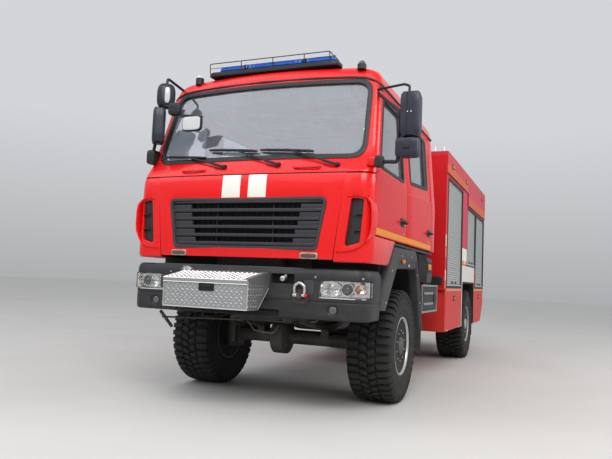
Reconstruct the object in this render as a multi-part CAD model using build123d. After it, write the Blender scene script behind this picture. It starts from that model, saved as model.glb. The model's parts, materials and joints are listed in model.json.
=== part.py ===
from build123d import *
from math import cos, pi
import os

os.makedirs("parts", exist_ok=True)

# Everything is in millimetres. x points to the vehicle's left, y to its rear and z up.
# Sizes along y are counted from the cab's front face; saving moves them to the middle of the
# length, and all to the middle of the width over the left mirrors.

# Wheels
tyre_radius = 585
tyre_width = 445
tyre_sides = 28
tread_base = 564
lug_width = 62
rim_radius = 286
rim_flange = 304
rim_width = 400
wheel_x = 1025
front_axle_y = 1352
wheelbase = 4680

# Steering and axles
kingpin_x = 790
kingpin_radius = 30
steer_arm = 270
spindle_radius = 60
axle_tube_radius = 75
running_gap = 0.1
spring_pad_z = 690
diff_radius = 190
diff_x = -150
pinion_z = 705

# Chassis frame
rail_x = 435
rail_height = 250
rail_flange = 80
rail_wall = 8
rail_top = 1090
rail_front = 80
rail_rear = 8150

# Cab
cab_half = 1250
cab_rear = 2920
cab_wall = 40
cab_floor_z = 1620
cab_sill_z = 1650
waist_z = 2210
side_lean = 0.0846
cowl_floor_z = 2235
gutter_z = 3120
cowl_front = 35
cowl_z = 2364
windscreen_slope = 0.327
cowl_bow = 45
windscreen_bow = 130
windscreen_foot_half = 1105
windscreen_head_half = 1070
windscreen_low = 2397
windscreen_high = 3158
windscreen_radius = 120
glass_depth = 12
glass_thick = 8
firewall_y = 135
corner_radius = 136
pillar_radius = 60
seat_gap = 0.3
seam = 5
door_seam = 8
hood_gap = 8
door_top = 3080
pillar_y = 1320
crew_door_end = cab_rear - 270
jamb = 50
window_z = 2290
crew_window_z = 2340
window_top = 2998
window_corner = 40
seat_floor_z = 1980
tunnel_half = 420
tunnel_end = 1700
tunnel_top = 1780
bench_y = cab_rear - 590
front_seat_y = 850
seat_depth = 480
bench_depth = 420
arch_band = 120
arch_reach = 420
step_inset = 10

# Front panel, grille and bumper
panel_thick = 40
panel_bottom = 1420
panel_top_half = 1000
panel_bottom_half = 906
grille_top = 1975
grille_bottom = 1505
grille_top_half = 830
grille_bottom_half = 750
bumper_bottom = 880
bumper_top = 1340
bumper_depth = 80
bumper_wrap = 400

# Tool box on the bumper
box_left = 310
box_right = -550
box_front = -410
box_wall = 6
lid_thick = 12

# Mirrors and light bar
mirror_reach = 1655
mirror_fold = 37
bar_z = 3408

# Superstructure
body_half = 1250
body_front = 3700
body_rear = 8250
body_floor_z = 1170
body_roof_z = 3100
body_wall = 40
wheel_box_wall = 20
rail_cap_z = 3165
arch_front = 5340
arch_rear = 6720
arch_top = 1300
arch_inner = 740
skirt_bottom = 576
rear_skirt_bottom = 550
locker_inner = 640
locker_wall = 30
skirt_end = 8200
skirt_corner = 7840
flap_thick = 35
flap_bottom = 356
band_thick = 12

# Tow plate
tow_y = 8290
tow_bore = 26
tow_plate = 40

# Rear ladder
ladder_stand = 182
ladder_tube = 18

# Roof monitor
monitor_y = 4350
monitor_radius = 90
monitor_base_top = 3240
monitor_rise = 110
barrel_length = 600

rear_axle_y = front_axle_y + wheelbase
axle_z = tyre_radius
rail_bottom = rail_top - rail_height
front_end = box_front - lid_thick
ladder_rear = body_rear + ladder_stand + ladder_tube
middle_y = (front_end + ladder_rear) / 2
middle_x = (mirror_reach - body_half - band_thick) / 2
tilt_z = monitor_base_top + monitor_rise


def block(x0, x1, y0, y1, z0, z1):
    return Pos((x0 + x1) / 2, (y0 + y1) / 2, (z0 + z1) / 2) * Box(x1 - x0, y1 - y0, z1 - z0)


def outline(points, radius=0):
    shape = Polygon(*points, align=None)
    return fillet(shape.vertices(), radius) if radius else shape


def side_prism(points, x0, x1, radius=0):
    """Solid whose outline is given in (y, z)."""
    return extrude(Plane.YZ.offset(x0) * outline(points, radius), x1 - x0, dir=(1, 0, 0))


def front_prism(points, y0, y1, radius=0):
    """Solid whose outline is given in (x, z)."""
    return extrude(Plane.XZ.offset(-y0) * outline(points, radius), y1 - y0, dir=(0, 1, 0))


def plan_prism(points, z0, z1, radius=0):
    """Solid whose outline is given in (x, y)."""
    return extrude(Plane.XY.offset(z0) * outline(points, radius), z1 - z0, dir=(0, 0, 1))


def rod(start, end, radius):
    a, b = Vector(*start), Vector(*end)
    return extrude(Plane(origin=a, z_dir=b - a) * Circle(radius), (b - a).length)


def bent_tube(points, radius, bend):
    path = FilletPolyline(*points, radius=bend)
    return sweep(Plane(origin=path @ 0, z_dir=path % 0) * Circle(radius), path=path)


def turned(profile, x, y, z):
    """Turned solid about an axis along x; the profile is (offset along x, radius)."""
    return Pos(x, y, z) * revolve(Polygon(*profile, align=None), Axis.X)


def mirrored(shape):
    return mirror(shape, about=Plane.YZ)


def pair(shape):
    return [shape, mirrored(shape)]


def trapezoid(bottom_half, z0, top_half, z1):
    return [(-bottom_half, z0), (bottom_half, z0), (top_half, z1), (-top_half, z1)]


nodes = {}


def keep(name, *shapes):
    flat = []
    for shape in shapes:
        flat += shape if isinstance(shape, list) else [shape]
    nodes[name] = flat


# Wheels and axles

def polygon_loft(stations):
    """Faceted solid along x; the stations are (x, radius over the flats)."""
    over_corners = 1 / cos(pi / tyre_sides)
    faces = [Plane.YZ.offset(x) * RegularPolygon(radius * over_corners, tyre_sides, rotation=180 / tyre_sides)
             for x, radius in stations]
    return loft(faces, ruled=True)


def tyre():
    half = tyre_width / 2
    bead = rim_width / 2 - 10
    shape = polygon_loft([(-half, 470), (17 - half, tread_base), (half - 17, tread_base), (half, 470)])
    shape -= polygon_loft([(-half - 1, rim_radius), (half + 1, rim_radius)])
    # columns: offset from the tyre's middle, radius
    lug = [(100, tread_base - 10), (100, tyre_radius), (half - 33, tyre_radius), (half - 7, tyre_radius - 17),
           (half, 515), (half - 20, 515)]
    block_shape = extrude(Plane.XY.offset(-lug_width / 2) * outline(lug), lug_width, dir=(0, 0, 1))
    for side in (1, -1):
        shape -= polygon_loft(sorted([(side * bead, rim_flange + 1), (side * (half + 1), 383)]))
        lugs = [Rot(360 / tyre_sides * k, 0, 0) * block_shape for k in range(tyre_sides)]
        shape += lugs if side == 1 else [mirrored(solid) for solid in lugs]
    return shape


def rim():
    half = rim_width / 2
    bore = spindle_radius + running_gap
    return turned([(-half, rim_flange), (10 - half, rim_flange), (10 - half, rim_radius),
                   (half - 10, rim_radius), (half - 10, rim_flange), (half, rim_flange), (half, 270),
                   (95, 262), (95, 165), (180, 150), (205, 120), (205, 0), (105, 0), (105, bore),
                   (-60, bore), (-60, 150), (75, 165), (75, 262), (-half, 270)], 0, 0, 0)


def knuckle():
    centre = (kingpin_x, front_axle_y)
    shape = rod((*centre, axle_z - 150), (*centre, axle_z + 150), kingpin_radius)
    shape += rod((*centre, axle_z - 100), (*centre, axle_z + 100), 75)
    shape += rod((kingpin_x, front_axle_y, axle_z), (wheel_x + 100, front_axle_y, axle_z), spindle_radius)
    shape += rod((wheel_x - 150, front_axle_y, axle_z), (wheel_x - 75, front_axle_y, axle_z), 210)
    arm_end = front_axle_y + steer_arm
    shape += block(kingpin_x - 20, kingpin_x + 20, front_axle_y, arm_end, axle_z - 15, axle_z + 15)
    shape += rod((kingpin_x, arm_end, axle_z - 15), (kingpin_x, arm_end, axle_z + 15), 28)
    shape += rod((kingpin_x, arm_end, axle_z), (kingpin_x, arm_end, axle_z + 65), 14)
    return shape


def tie_rod():
    y, z = front_axle_y + steer_arm, axle_z + 40
    shape = rod((-kingpin_x, y, z), (kingpin_x, y, z), 20)
    for x in (-kingpin_x, kingpin_x):
        shape += rod((x, y, z - 22), (x, y, z + 22), 32)
    for x in (-kingpin_x, kingpin_x):
        shape -= rod((x, y, z - 30), (x, y, z + 30), 14 + running_gap)
    return shape


def front_axle():
    shape = rod((-700, front_axle_y, axle_z), (700, front_axle_y, axle_z), axle_tube_radius)
    bowl = [(-120, 0), (-120, 90), (-70, diff_radius), (70, diff_radius), (120, 90), (120, 0)]
    shape += turned(bowl, diff_x, front_axle_y, axle_z)
    shape += rod((diff_x, front_axle_y + 60, pinion_z), (diff_x, front_axle_y + 205, pinion_z), 45)
    for side in (-1, 1):
        x = side * kingpin_x
        for z in (axle_z - 150, axle_z + 101):
            ear = rod((x, front_axle_y, z), (x, front_axle_y, z + 49), 75)
            ear += block(min(side * 670, x), max(side * 670, x), front_axle_y - 60, front_axle_y + 60, z, z + 49)
            ear -= rod((x, front_axle_y, z), (x, front_axle_y, z + 49), kingpin_radius + running_gap)
            shape += ear
        shape += block(min(side * 670, side * 700), max(side * 670, side * 700),
                       front_axle_y - 60, front_axle_y + 60, axle_z - 150, axle_z + 150)
        shape += spring_pad(side, front_axle_y)
    return shape


def spring_pad(side, y):
    x = side * (rail_x - 45)
    return block(x - 45, x + 45, y - 80, y + 80, axle_z, spring_pad_z)


def rear_axle():
    y = rear_axle_y
    shape = rod((-wheel_x - 100, y, axle_z), (wheel_x + 100, y, axle_z), spindle_radius)
    shape += rod((75 - wheel_x, y, axle_z), (wheel_x - 75, y, axle_z), 85)
    bowl = [(-150, 0), (-150, 110), (-80, 210), (80, 210), (150, 110), (150, 0)]
    shape += turned(bowl, 0, y, axle_z)
    shape += rod((0, y - 330, pinion_z), (0, y - 60, pinion_z), 60)
    for side in (-1, 1):
        ends = sorted((side * (wheel_x - 190), side * (wheel_x - 75)))
        shape += rod((ends[0], y, axle_z), (ends[1], y, axle_z), 210)
        shape += spring_pad(side, y)
    return shape


def leaf_springs():
    lower = [(-700, 790), (-350, 728), (-80, spring_pad_z), (80, spring_pad_z), (350, 728), (700, 790)]
    upper = [(700, 815), (350, 770), (0, 755), (-350, 770), (-700, 815)]
    springs = []
    for y in (front_axle_y, rear_axle_y):
        for side in (-1, 1):
            x = side * (rail_x - 45)
            leaf = side_prism([(y + dy, z) for dy, z in lower + upper], x - 40, x + 40)
            for end in (-680, 680):
                leaf += block(x - 40, x + 40, y + end - 45, y + end + 45, 800, rail_bottom)
            springs.append(leaf)
    return springs


# Chassis frame and drive

def frame_rails():
    shape = None
    for side in (-1, 1):
        outer, inner = side * rail_x, side * (rail_x - rail_flange)
        web = side * (rail_x - rail_wall)
        rail = block(min(outer, inner), max(outer, inner), rail_front, rail_rear, rail_bottom, rail_top)
        rail -= block(min(web, inner), max(web, inner), rail_front, rail_rear,
                      rail_bottom + rail_wall, rail_top - rail_wall)
        shape = rail if shape is None else shape + rail
        shape += block(min(outer, inner), max(outer, inner), body_front, body_rear - 60, rail_top,
                       body_floor_z)
    web = rail_x - rail_wall
    for y in (120, 2680, 3620, 5000, 7000, 8100):
        shape += block(-web, web, y - 30, y + 30, rail_bottom + 60, rail_top - 60)
    return shape


def engine_block():
    engine = block(-330, 330, 520, 1750, 800, 1500)
    engine += block(-230, 230, 1750, 2500, 820, 1200)
    web = rail_x - rail_wall
    for y in (760, 1560):
        engine += block(-web, web, y - 50, y + 50, 900, 960)
    radiator = block(-340, 340, 200, 300, 900, 1560)
    radiator += block(-web, web, 230, 270, 900, 960)
    return [engine, radiator]


def drive_shafts():
    case = block(-220, 220, 3050, 3430, 720, 1020)
    web = rail_x - rail_wall
    case += block(-web, web, 3180, 3300, 900, 960)
    case += rod((diff_x, front_axle_y + 205, pinion_z), (diff_x, 3100, 800), 35)
    case += rod((0, 2500, 860), (0, 3100, 840), 35)
    case += rod((0, 3400, 800), (0, rear_axle_y - 330, pinion_z), 40)
    case -= block(-230, 230, 2400, 2500, 820, 1200)
    case -= front_axle()
    case -= rear_axle()
    return case


# Front bumper, lamps and tool box

lamp_x0, lamp_x1, lamp_z0, lamp_z1 = 800, 1222, 1082, 1238
fog_x, fog_z, fog_radius = 933, 985, 42


def front_bumper():
    shape = block(-cab_half, cab_half, 0, bumper_depth, bumper_bottom, bumper_top)
    for side in (-1, 1):
        ends = sorted((side * (cab_half - 60), side * cab_half))
        shape += block(ends[0], ends[1], 0, bumper_wrap, bumper_bottom, bumper_top)
    corners = shape.edges().filter_by(Axis.Z).filter_by_position(Axis.Y, -1, 1)
    shape = fillet(corners, 55)
    for side in (-1, 1):
        ends = sorted((side * lamp_x0, side * lamp_x1))
        shape -= block(ends[0], ends[1], -10, 70, lamp_z0, lamp_z1)
        shape -= rod((side * fog_x, -10, fog_z), (side * fog_x, 50, fog_z), fog_radius)
        shape -= block(min(side * 700, side * 1100), max(side * 700, side * 1100), 20, bumper_depth,
                       bumper_top - 50, bumper_top)
    shape -= block(330, 560, -10, 60, 1195, 1280)
    return shape


def tow_shackle():
    x, z = 630, 1090
    shape = rod((x - 60, -30, z), (x + 60, -30, z), 14)
    shape += block(x - 20, x + 20, -50, 0, z - 25, z + 25)
    bow = [(x - 42, -30, z), (x - 42, -30, z + 80), (x + 42, -30, z + 80), (x + 42, -30, z)]
    shape += bent_tube(bow, 12, 40)
    return shape


def lamps():
    found = []
    for side in (-1, 1):
        ends = sorted((side * (lamp_x0 + seat_gap), side * (lamp_x1 - seat_gap)))
        found.append(block(ends[0], ends[1], 8, 70, lamp_z0 + seat_gap, lamp_z1 - seat_gap))
        fog = rod((side * fog_x, 5, fog_z), (side * fog_x, 50, fog_z), fog_radius - seat_gap)
        found.append(fog)
        ends = sorted((side * (body_half - 240), side * (body_half - 40)))
        found.append(block(ends[0], ends[1], skirt_end, skirt_end + 28, 1010, 1120))
    return found


def box_profile():
    return [(box_front, 951), (box_front, 1200), (-20, 1277), (0, 1277), (0, 1144), (-200, 951)]


def tool_box():
    shape = side_prism(box_profile(), box_right, box_left)
    inner = [(box_front + box_wall, 951 + box_wall), (box_front + box_wall, 1300), (-box_wall, 1300),
             (-box_wall, 1144 + box_wall), (-200, 951 + box_wall)]
    return shape - side_prism(inner, box_right + box_wall, box_left - box_wall)


def tool_box_lid():
    gap = seat_gap
    low, high = 1200 + gap, 1277 + gap
    lid = side_prism([(box_front - lid_thick, low - 2), (box_front - lid_thick, low + lid_thick),
                      (-20, high + lid_thick), (-seam, high + lid_thick), (-seam, high), (-20, high),
                      (box_front, low)], box_right, box_left)
    lip = block(box_right, box_left, box_front - lid_thick, box_front - gap, 1170, 1205)
    return lid + lip


# Cab

def half_at(z):
    return cab_half - side_lean * (z - waist_z)


def front_at(z):
    return cowl_front + windscreen_slope * (z - waist_z)


# columns: height, front edge at the middle, half width, corner radius, bow, rear
shell_sections = [
    (waist_z, cowl_front, cab_half, corner_radius, cowl_bow, cab_rear),
    (cowl_z, front_at(cowl_z), half_at(cowl_z), pillar_radius, windscreen_bow, cab_rear),
    (gutter_z, front_at(gutter_z), half_at(gutter_z), pillar_radius, windscreen_bow, cab_rear),
]
# columns: height above the gutter, front edge behind the gutter's, inset of the sides and of the rear
roof_table = [
    (80, 26, 23, 5),
    (146, 40, 57, 30),
    (210, 80, 140, 80),
    (240, 168, 225, 170),
    (255, 418, 375, 300),
]
roof_sections = shell_sections[-1:] + [
    (gutter_z + up, front_at(gutter_z) + back, half_at(gutter_z) - side, pillar_radius + side / 4,
     windscreen_bow, cab_rear - rear) for up, back, side, rear in roof_table]


def cab_section(z, front, half, radius, bow, rear):
    """Plan of the cab at one height, its front edge an arc."""
    face = make_face(ThreePointArc((-half, front + bow), (0, front), (half, front + bow))
                     + Polyline((half, front + bow), (half, rear), (-half, rear), (-half, front + bow)))
    corners = face.vertices().sort_by(Axis.Y)[:2]
    return Plane.XY.offset(z) * fillet(corners, radius)


def lofted(sections, inset):
    faces = []
    for z, front, half, radius, bow, rear in sections:
        faces.append(cab_section(z, front + inset, half - inset, max(radius - inset, 5), bow, rear - inset))
    return loft(faces, ruled=True)


def side_layer(outer, inner):
    """Slab of the left side wall between two depths below its skin."""
    lean = cab_half - half_at(gutter_z)
    skin = [(cab_half, cab_sill_z - 1), (cab_half, waist_z), (cab_half - lean, gutter_z)]
    return front_prism([(x - outer, z) for x, z in skin] + [(x - inner, z) for x, z in skin[::-1]], 0, cab_rear)


def windscreen_opening(grow):
    low, high = windscreen_low - grow, windscreen_high + grow
    shape = trapezoid(windscreen_foot_half + grow, low, windscreen_head_half + grow, high)
    return front_prism(shape, 0, 600, radius=windscreen_radius)


def door_outline(front_door, grow=0):
    g = grow
    low, high = cab_sill_z + seam - g, door_top + g
    if front_door:
        front, rear = firewall_y + 9 - g, pillar_y - door_seam / 2 + g
        return [(front, low), (rear, low), (rear, high), (firewall_y + 375 - g, high),
                (firewall_y + 90 - g, waist_z + 52 + g / 2), (front, waist_z - seam + g / 2)]
    front, rear = pillar_y + door_seam / 2 - g, crew_door_end + g
    return [(front, low), (rear, low), (rear, high), (front, high)]


def door_window(front_door):
    if front_door:
        rear = pillar_y - 130
        return [(firewall_y + 155, window_z), (rear, window_z), (rear, window_top),
                (firewall_y + 395, window_top)]
    front, rear = pillar_y + 190, crew_door_end - 230
    return [(front, crew_window_z), (rear, crew_window_z + 70), (rear, window_top), (front, window_top)]


def cab_outer():
    upper = lofted(shell_sections, 0)
    return upper + block(-cab_half, cab_half, firewall_y, cab_rear, cab_sill_z, waist_z)


def cab_frame():
    shape = cab_outer()
    inner = cab_half - cab_wall
    cowl = firewall_y + cab_wall
    hollow = lofted(shell_sections, cab_wall) - block(-inner, inner, 0, cowl, waist_z, cowl_floor_z)
    hollow += block(-inner, inner, cowl, cab_rear - cab_wall, cab_sill_z, waist_z)
    shape -= hollow
    shape -= windscreen_opening(seat_gap)
    for front_door in (True, False):
        cut = side_prism(door_outline(front_door, door_seam), 0, cab_half + 1) & side_layer(-2, cab_wall + 1)
        for side_cut in pair(cut):
            shape -= side_cut
    for front_door in (True, False):
        ring = side_prism(door_outline(front_door, 20), 0, cab_half)
        ring -= side_prism(door_outline(front_door, -jamb), 0, cab_half)
        for part in pair(ring & side_layer(cab_wall, 2 * cab_wall) & cab_outer()):
            shape += part
    shape -= block(-cab_half, cab_half, 0, cab_rear, cab_floor_z, cab_sill_z)
    rear_window = front_prism([(-500, 2450), (500, 2450), (500, 2850), (-500, 2850)],
                              cab_rear - cab_wall - 1, cab_rear + 1, radius=60)
    return shape - rear_window


def cab_roof():
    inner = [(z - (cab_wall if z > windscreen_high + cab_wall else 0), *rest) for z, *rest in roof_sections]
    return lofted(roof_sections, 0) - lofted(inner, cab_wall) - windscreen_opening(seat_gap)


def windscreen():
    top = windscreen_high + 30
    sections = shell_sections[1:2] + [(top, front_at(top), half_at(top), pillar_radius, windscreen_bow, cab_rear)]
    pane = lofted(sections, glass_depth) - lofted(sections, glass_depth + glass_thick)
    return pane & windscreen_opening(0)


def cab_floor():
    inner = cab_half - cab_wall
    shape = block(-inner, inner, firewall_y, cab_rear, cab_floor_z, cab_sill_z)
    return shape + block(-tunnel_half, tunnel_half, firewall_y + cab_wall, tunnel_end, cab_sill_z, tunnel_top)


def cab_mounts():
    found = []
    for y in (firewall_y + 215, cab_rear - 170):
        beam = block(-rail_x, rail_x, y - 50, y + 50, cab_floor_z - 60, cab_floor_z)
        for side in (-1, 1):
            ends = sorted((side * rail_x, side * (rail_x - rail_flange)))
            beam += block(ends[0], ends[1], y - 50, y + 50, rail_top, cab_floor_z - 60)
        found.append(beam)
    return found


def seat(x0, x1, y0, depth):
    back, low = y0 + depth, seat_floor_z
    profile = [(y0, low), (y0, low + 140), (back - 120, low + 130), (back, low + 780), (back + 90, low + 780),
               (back + 20, low)]
    cushion = side_prism(profile, x0, x1, radius=18)
    return cushion + block(x0 + 75, x1 - 75, y0 + 30, back, cab_sill_z, low + 20)


def seats():
    bench = seat(150 - cab_half, cab_half - 150, bench_y, bench_depth)
    return [bench] + pair(seat(350, 850, front_seat_y, seat_depth))


def dashboard():
    inner = cab_half - cab_wall - cab_wall - 2
    shape = side_prism([(firewall_y + cab_wall, 1900), (firewall_y + cab_wall, 2225), (470, 2225),
                        (560, 2150), (560, 2060), (400, 1900)], -inner, inner)
    ring = Pos(600, 690, 2240) * Rot(-60, 0, 0) * Torus(215, 16)
    spoke = Pos(600, 690, 2240) * Rot(-60, 0, 0) * Box(420, 50, 14)
    column = rod((600, 690, 2240), (600, 500, 2130), 30)
    return shape + ring + spoke + column


def door(front_door):
    shape = side_prism(door_outline(front_door), 0, cab_half) & side_layer(0, cab_wall - seat_gap)
    shape &= cab_outer()
    shape -= side_prism(door_window(front_door), 0, cab_half + 1, radius=window_corner)
    glass = side_prism(door_window(front_door), 0, cab_half, radius=window_corner)
    pane_out = cab_wall / 2 - 3
    return [shape, glass & side_layer(pane_out, pane_out + 6)]


def corner_panels():
    start = panel_bottom_half - 26
    depth = firewall_y - 1
    low = panel_bottom - 20
    outer = plan_prism([(start, 0), (cab_half - depth - 6, 0), (cab_half, depth), (cab_half - cab_wall, depth),
                        (cab_half - cab_wall - 120, cab_wall), (start, cab_wall)], low, waist_z - seam)
    hood = trapezoid(panel_bottom_half + hood_gap, panel_bottom - seam, panel_top_half + hood_gap, waist_z)
    outer -= front_prism(hood, -10, 100)
    outer -= block(0, panel_bottom_half + hood_gap, -10, 100, low - 10, panel_bottom)
    lower = side_prism([(firewall_y - 5, low), (629, low), (860, cab_sill_z - seam),
                        (firewall_y - 5, cab_sill_z - seam)], cab_half - cab_wall, cab_half)
    vent = front_prism([(cab_half - 240, grille_bottom + 50), (cab_half - 110, grille_bottom + 50),
                        (cab_half - 80, grille_top - 5), (cab_half - 183, grille_top - 5)], -10, 30)
    stop = front_prism([(panel_bottom_half - 40, panel_bottom), (panel_bottom_half + 40, panel_bottom),
                        (panel_top_half + 30, waist_z - 30), (panel_top_half - 40, waist_z - 30)],
                       panel_thick, panel_thick + 12)
    stop -= front_prism(hood, -10, panel_thick + seat_gap)
    return pair(outer + lower - vent + stop)


def front_panel():
    shape = front_prism(trapezoid(panel_bottom_half, panel_bottom, panel_top_half, waist_z - seam),
                        0, panel_thick)
    hole = trapezoid(grille_bottom_half, grille_bottom, grille_top_half, grille_top)
    return shape - front_prism(hole, -5, panel_thick + 5, radius=40)


def grille():
    hole = trapezoid(grille_bottom_half - seat_gap, grille_bottom + seat_gap,
                     grille_top_half - seat_gap, grille_top - seat_gap)
    shape = front_prism(hole, 6, panel_thick - 2, radius=40)
    # columns: slot bottom, slot top, half width
    slots = [(1860, 1915, 760), (1780, 1835, 740), (1700, 1755, 715), (1620, 1675, 620), (1545, 1595, 560)]
    for z0, z1, half in slots:
        shape -= block(-half, half, 0, 60, z0, z1)
    for x in (-260, 260):
        shape += block(x - 10, x + 10, panel_thick - 12, panel_thick - 2, 1540, 1920)
    return shape


def front_arches():
    inner = cab_half - arch_band
    far = cab_half - arch_reach
    band = side_prism([(469, 978), (887, 1612), (1840, 1612), (2090, 1230), (2290, 690), (2200, 690),
                       (2050, 1160), (1930, 1385), (1072, 1380), (674, 975)], inner, cab_half)
    band += block(far, inner, 900, 1830, 1582, 1612)
    band += rod((rail_x, 580, 1040), (inner + 10, 580, 1040), 20)
    band += rod((rail_x, 2225, 860), (inner + 10, 2225, 860), 20)
    band += block(far, inner, 2218, 2230, 420, 1120)
    return pair(band)


# Cab fittings

def skin_y(x, z):
    share = min(1, (z - waist_z) / (cowl_z - waist_z))
    bow = cowl_bow + share * (windscreen_bow - cowl_bow)
    return front_at(z) + bow * (x / half_at(z)) ** 2


def mirrors():
    cab = cab_outer() + lofted(roof_sections, 0)
    # left: spread for driving
    post = (1462, 55)
    left = fillet(block(1482, mirror_reach, -25, 120, 2490, 2885).edges(), 40)
    left += fillet(block(1448, mirror_reach - 5, -25, 110, 2312, 2484).edges(), 35)
    left += rod((*post, 2270), (*post, 2735), 17) + rod((*post, 2735), (1140, 450, 3040), 15)
    left += rod((1540, 50, 2870), (1540, 50, 2955), 12) + rod((1540, 50, 2945), (1140, 450, 3070), 11)
    left += rod((1462, 55, 2700), (1510, 55, 2700), 14)
    left += rod((*post, 2284), (1300, 95, 2300), 14) + block(1248, 1325, 50, 132, 2248, 2350)
    left += block(1170, 1252, 85, 206, 2270, 2350)
    # right: folded against the pillar
    turn = Rot(0, 0, mirror_fold)
    foot, head = (-1228, 180, 2400), (-1185, 335, 3150)
    right = Pos(-1120, 130, 2767) * turn * fillet(Box(130, 200, 375).edges(), 35)
    right += Pos(-1095, 190, 3100) * turn * fillet(Box(190, 130, 270).edges(), 55)
    right += rod(foot, head, 17) + block(-1252, -1150, 120, 248, 2375, 2520)
    right += rod((-1085, 490, 3250), (-1120, 230, 3310), 14) + rod((-1120, 230, 3315), (-1105, 195, 3150), 14)
    right += rod((-1205, 280, 2790), (-1120, 130, 2790), 16) + rod((-1190, 320, 3080), (-1095, 190, 3080), 16)
    # kerb mirror on its arm
    right += rod((-1095, 150, 2990), (-880, 80, 2930), 13) + fillet(block(-955, -820, 30, 120, 2850, 2980).edges(), 30)
    right += rod((-880, 75, 2855), (-560, 75, 2820), 11)
    right += fillet(block(-785, -560, 50, 100, 2675, 2830).edges(), 20)
    return [left - cab, right - cab]


def wipers():
    # columns: pivot (x, z), blade start (x, z), blade end (x, z)
    table = [((-257, 2291), (-1039, 2444), (-504, 2403)), ((318, 2296), (-483, 2485), (69, 2448)),
             ((898, 2284), (102, 2458), (641, 2430))]
    cab = cab_outer()
    found = []
    for pivot, start, end in table:
        (x, z), middle = pivot, [(a + b) / 2 for a, b in zip(start, end)]
        points = {spot: (spot[0], skin_y(*spot) - 22, spot[1]) for spot in (start, end)}
        shape = rod((x, skin_y(x, z) - 28, z), (x, skin_y(x, z) + 30, z), 20)
        shape += rod((x, skin_y(x, z) - 22, z), (middle[0], skin_y(*middle) - 28, middle[1]), 9)
        shape += rod(points[start], points[end], 9)
        found.append(shape - cab)
    return found


def light_bar():
    roof = lofted(roof_sections, 0)
    shape = block(-790, 780, 420, 600, 3340, bar_z) - roof
    shape += block(-610, 700, 430, 590, bar_z, bar_z + 44)
    # wire guard in front of the lens
    guard = rod((-715, 412, bar_z + 80), (650, 412, bar_z + 80), 5)
    guard += rod((650, 412, bar_z + 80), (778, 424, bar_z - 40), 5)
    for x in (-715, -30, 650):
        guard += rod((x, 412, bar_z + 80), (x, 424, bar_z - 20), 5)
    # marker lamps on the roof's front corners
    domes = [rod((x, 470, 3290), (x, 470, 3290 + rise), 38) - roof for x, rise in ((970, 90), (-870, 110))]
    return [shape + guard] + domes


def battery_box():
    outer = cab_half - step_inset
    shape = block(locker_inner, outer, 2340, 3280, 880, 1245)
    shape += block(rail_x, locker_inner, 2500, 3100, 950, 1050)
    return shape + block(outer - 380, outer - 5, 2120, 2640, 1245, 1600)


def fuel_tank():
    outer = cab_half - 3 * step_inset
    tank = side_prism([(2420, 720), (3560, 720), (3560, 1240), (2420, 1240)], -outer, 660 - outer, radius=90)
    return tank + block(620 - outer, -rail_x, 2700, 3300, 950, 1050)


# Superstructure

# columns: first y, last y, bottom, top
side_openings = [(body_front + 150, arch_front - 90, body_floor_z + body_wall, body_roof_z - 300),
                 (arch_front + 470, arch_rear + 180, arch_top + 285, body_roof_z - 490),
                 (arch_rear + 230, body_rear - 80, body_floor_z + body_wall, body_roof_z - 500)]
rear_opening = (250 - body_half, 620, body_floor_z + body_wall, body_roof_z - 500)


def body_floor():
    wall = wheel_box_wall
    shape = block(-body_half, body_half, body_front, body_rear, body_floor_z, body_floor_z + body_wall)
    for side in (-1, 1):
        ends = sorted((side * (arch_inner - wall), side * body_half))
        shape += block(ends[0], ends[1], arch_front - wall, arch_rear + wall, body_floor_z, arch_top + wall)
        ends = sorted((side * arch_inner, side * (body_half + 1)))
        shape -= block(ends[0], ends[1], arch_front, arch_rear, body_floor_z - 1, arch_top)
    return shape


def body_walls():
    low, high = body_floor_z + body_wall, body_roof_z - body_wall
    inner = body_half - body_wall
    side = block(inner, body_half, body_front, body_rear, low, high)
    side -= block(inner, body_half, arch_front - wheel_box_wall, arch_rear + wheel_box_wall, low,
                  arch_top + wheel_box_wall)
    for y0, y1, z0, z1 in side_openings:
        side -= block(inner - 1, body_half + 1, y0, y1, z0, z1)
    across = inner - seat_gap
    front = block(-across, across, body_front, body_front + body_wall, low, high)
    rear = block(-across, across, body_rear - body_wall, body_rear, low, high)
    x0, x1, z0, z1 = rear_opening
    rear -= block(x0, x1, body_rear - body_wall - 1, body_rear + 1, z0, z1)
    return pair(side) + [front, rear]


def body_roof():
    return block(-body_half, body_half, body_front, body_rear, body_roof_z - body_wall, body_roof_z)


def skirt_outline(front_skirt, inset=0):
    t = inset
    top = body_floor_z - t
    if front_skirt:
        front, rear, low = body_front + 60 + t, arch_front - 2 * t, skirt_bottom + t
        return [(front, low), (rear, low), (rear, top), (front, top)]
    front, low = arch_rear + 2 * t, rear_skirt_bottom + t
    return [(front, low), (skirt_corner - t / 3, low), (skirt_end - t, 900 + t / 3), (skirt_end - t, top),
            (front, top)]


def lower_lockers():
    outer = body_half - flap_thick
    found = []
    for front_skirt, y0, low in ((True, arch_front - 50, skirt_bottom), (False, arch_rear, rear_skirt_bottom)):
        shape = side_prism(skirt_outline(front_skirt), locker_inner, outer)
        shape -= side_prism(skirt_outline(front_skirt, locker_wall), locker_inner + 20, outer + 1)
        shape += block(outer, body_half, y0, y0 + 50, low, body_floor_z)
        found += pair(shape)
    return found


def step_flap(front_flap):
    inner = body_half - flap_thick + seat_gap
    top = body_floor_z - seam
    if front_flap:
        front, rear, low = body_front + 60 + seam, arch_front - 50 - seam, skirt_bottom + seam
        points = [(front, low), (rear, low), (rear, top), (front, top)]
    else:
        front, rear, low = arch_rear + 50 + seam, skirt_end - seam, rear_skirt_bottom + seam
        points = [(front, low), (skirt_corner - 4, low), (rear, 903), (rear, top), (front, top)]
    return side_prism(points, inner, body_half)


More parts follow.
